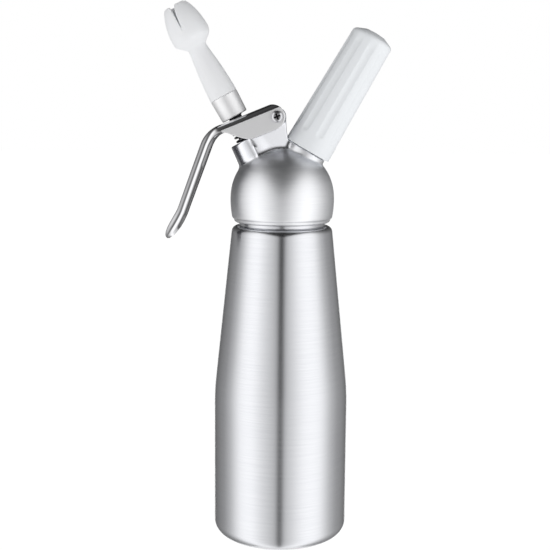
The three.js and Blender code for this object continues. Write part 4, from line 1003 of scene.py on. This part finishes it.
def tulip_field(x, y, z):
    """The nozzle's wall less its slits, which widen upwards and flare between the petals' round tips."""
    rise = np.clip((z - SLIT_BOTTOM) / (PETAL_TOP - SLIT_BOTTOM), 0, 1)
    half_width = 0.05 + 0.65 * rise + 1.3 * rise ** 7
    slit = np.full(x.shape, 1e9, np.float32)
    for k in range(PETAL_COUNT // 2):
        turn = math.radians(FIRST_SLIT + 360 / PETAL_COUNT * k)
        off_plane = np.abs(y * math.cos(turn) - x * math.sin(turn))
        below = np.maximum(SLIT_BOTTOM - z, 0)
        slit = np.minimum(slit, np.hypot(off_plane, below) - half_width)
    return soft_cut(outline_field(np.hypot(x, y), z, TULIP_WALL), slit, 0.8)


tulip = skinned(tulip_field, (-12.6, -12.6, 69), (12.6, 12.6, 131.4), 0.42)
piece("nozzle_body", tulip, nozzle_plastic, "nozzle", ("nozzle_tip",), VALVE, sharp=60)

# %% [markdown]
# ## The charger holder
# The holder is a white cup that tapers slightly. Nine shallow flutes give the hand a hold; each starts
# with a rounded end above the rim and fades out at the closed end.

# %% Charger holder
FLUTE_COUNT, FLUTE_DEPTH, FLUTE_START, FLUTE_END = 9, 0.62, 40.4, 102.5
FIRST_FLUTE = -84


def flute(radius, height, angle):
    """How far a flute draws the holder's side in at a place."""
    if radius < 11.9 or height < 30:
        return 0
    pitch = 2 * math.pi / FLUTE_COUNT
    offset = (angle - math.radians(FIRST_FLUTE)) % pitch
    off_middle = min(offset, pitch - offset) * radius
    below = max(FLUTE_START - height, 0)
    depth = FLUTE_DEPTH - (off_middle ** 2 + below ** 2) / 9
    return -max(depth, 0) * min(1, max(0, (FLUTE_END - height) / 6))


holder_profile = [(11.7, 29.1), (14.0, 29.0), (14.2, 29.25)]
holder_profile += [(14.2 - 1.48 * (h - 29) / 72.5, h) for h in np.arange(30, 101, 0.7)]
holder_profile += bow(9.72, 101.5, 3, 0, 62, 8)[1:] + [(6.4, 106.2), (3, 106.6), (0, 106.75)]
holder_profile += [(0, 103.1)] + bow(0, 93.7, 9.4, 90, 0, 10)[1:] + [(9.4, 43.0), (11.7, 43.0)]
cup = turned(holder_profile, 24 * FLUTE_COUNT, flute)
piece("holder_body", cup, holder_plastic, "holder", ("charger_holder",), INLET)
HOLDER_RIDGE = [(0.4, 0.7), (-0.7, 0.25), (-0.7, -0.25), (0.4, -0.7)]
holder_thread = coiled(11.7, lambda turn: 31.05 + HOLDER_PITCH * turn, 3.4, HOLDER_RIDGE, 36, 0.12)
piece("holder_thread", holder_thread, holder_plastic, "holder", place=INLET)

# %% [markdown]
# ## The pieces inside
# Gaskets, nipple, pin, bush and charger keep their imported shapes, and get the finish of what they are
# made of.

# %% Finishes of the inner pieces
INNER = {
    "head_gasket": silicone, "gas_inlet_nipple": brass, "check_valve_sleeve": nitrile,
    "piercing_pin": turned_steel, "inlet_gasket": nitrile, "stem_bush": brass, "stem_o_ring": nitrile,
    "valve_seal": nitrile, "nozzle_washer": nitrile, "gas_charger": charger_steel,
}
for name, material in INNER.items():
    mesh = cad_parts[name].data
    mesh.materials.clear()
    mesh.materials.append(material)
print("inner pieces:", len(INNER))
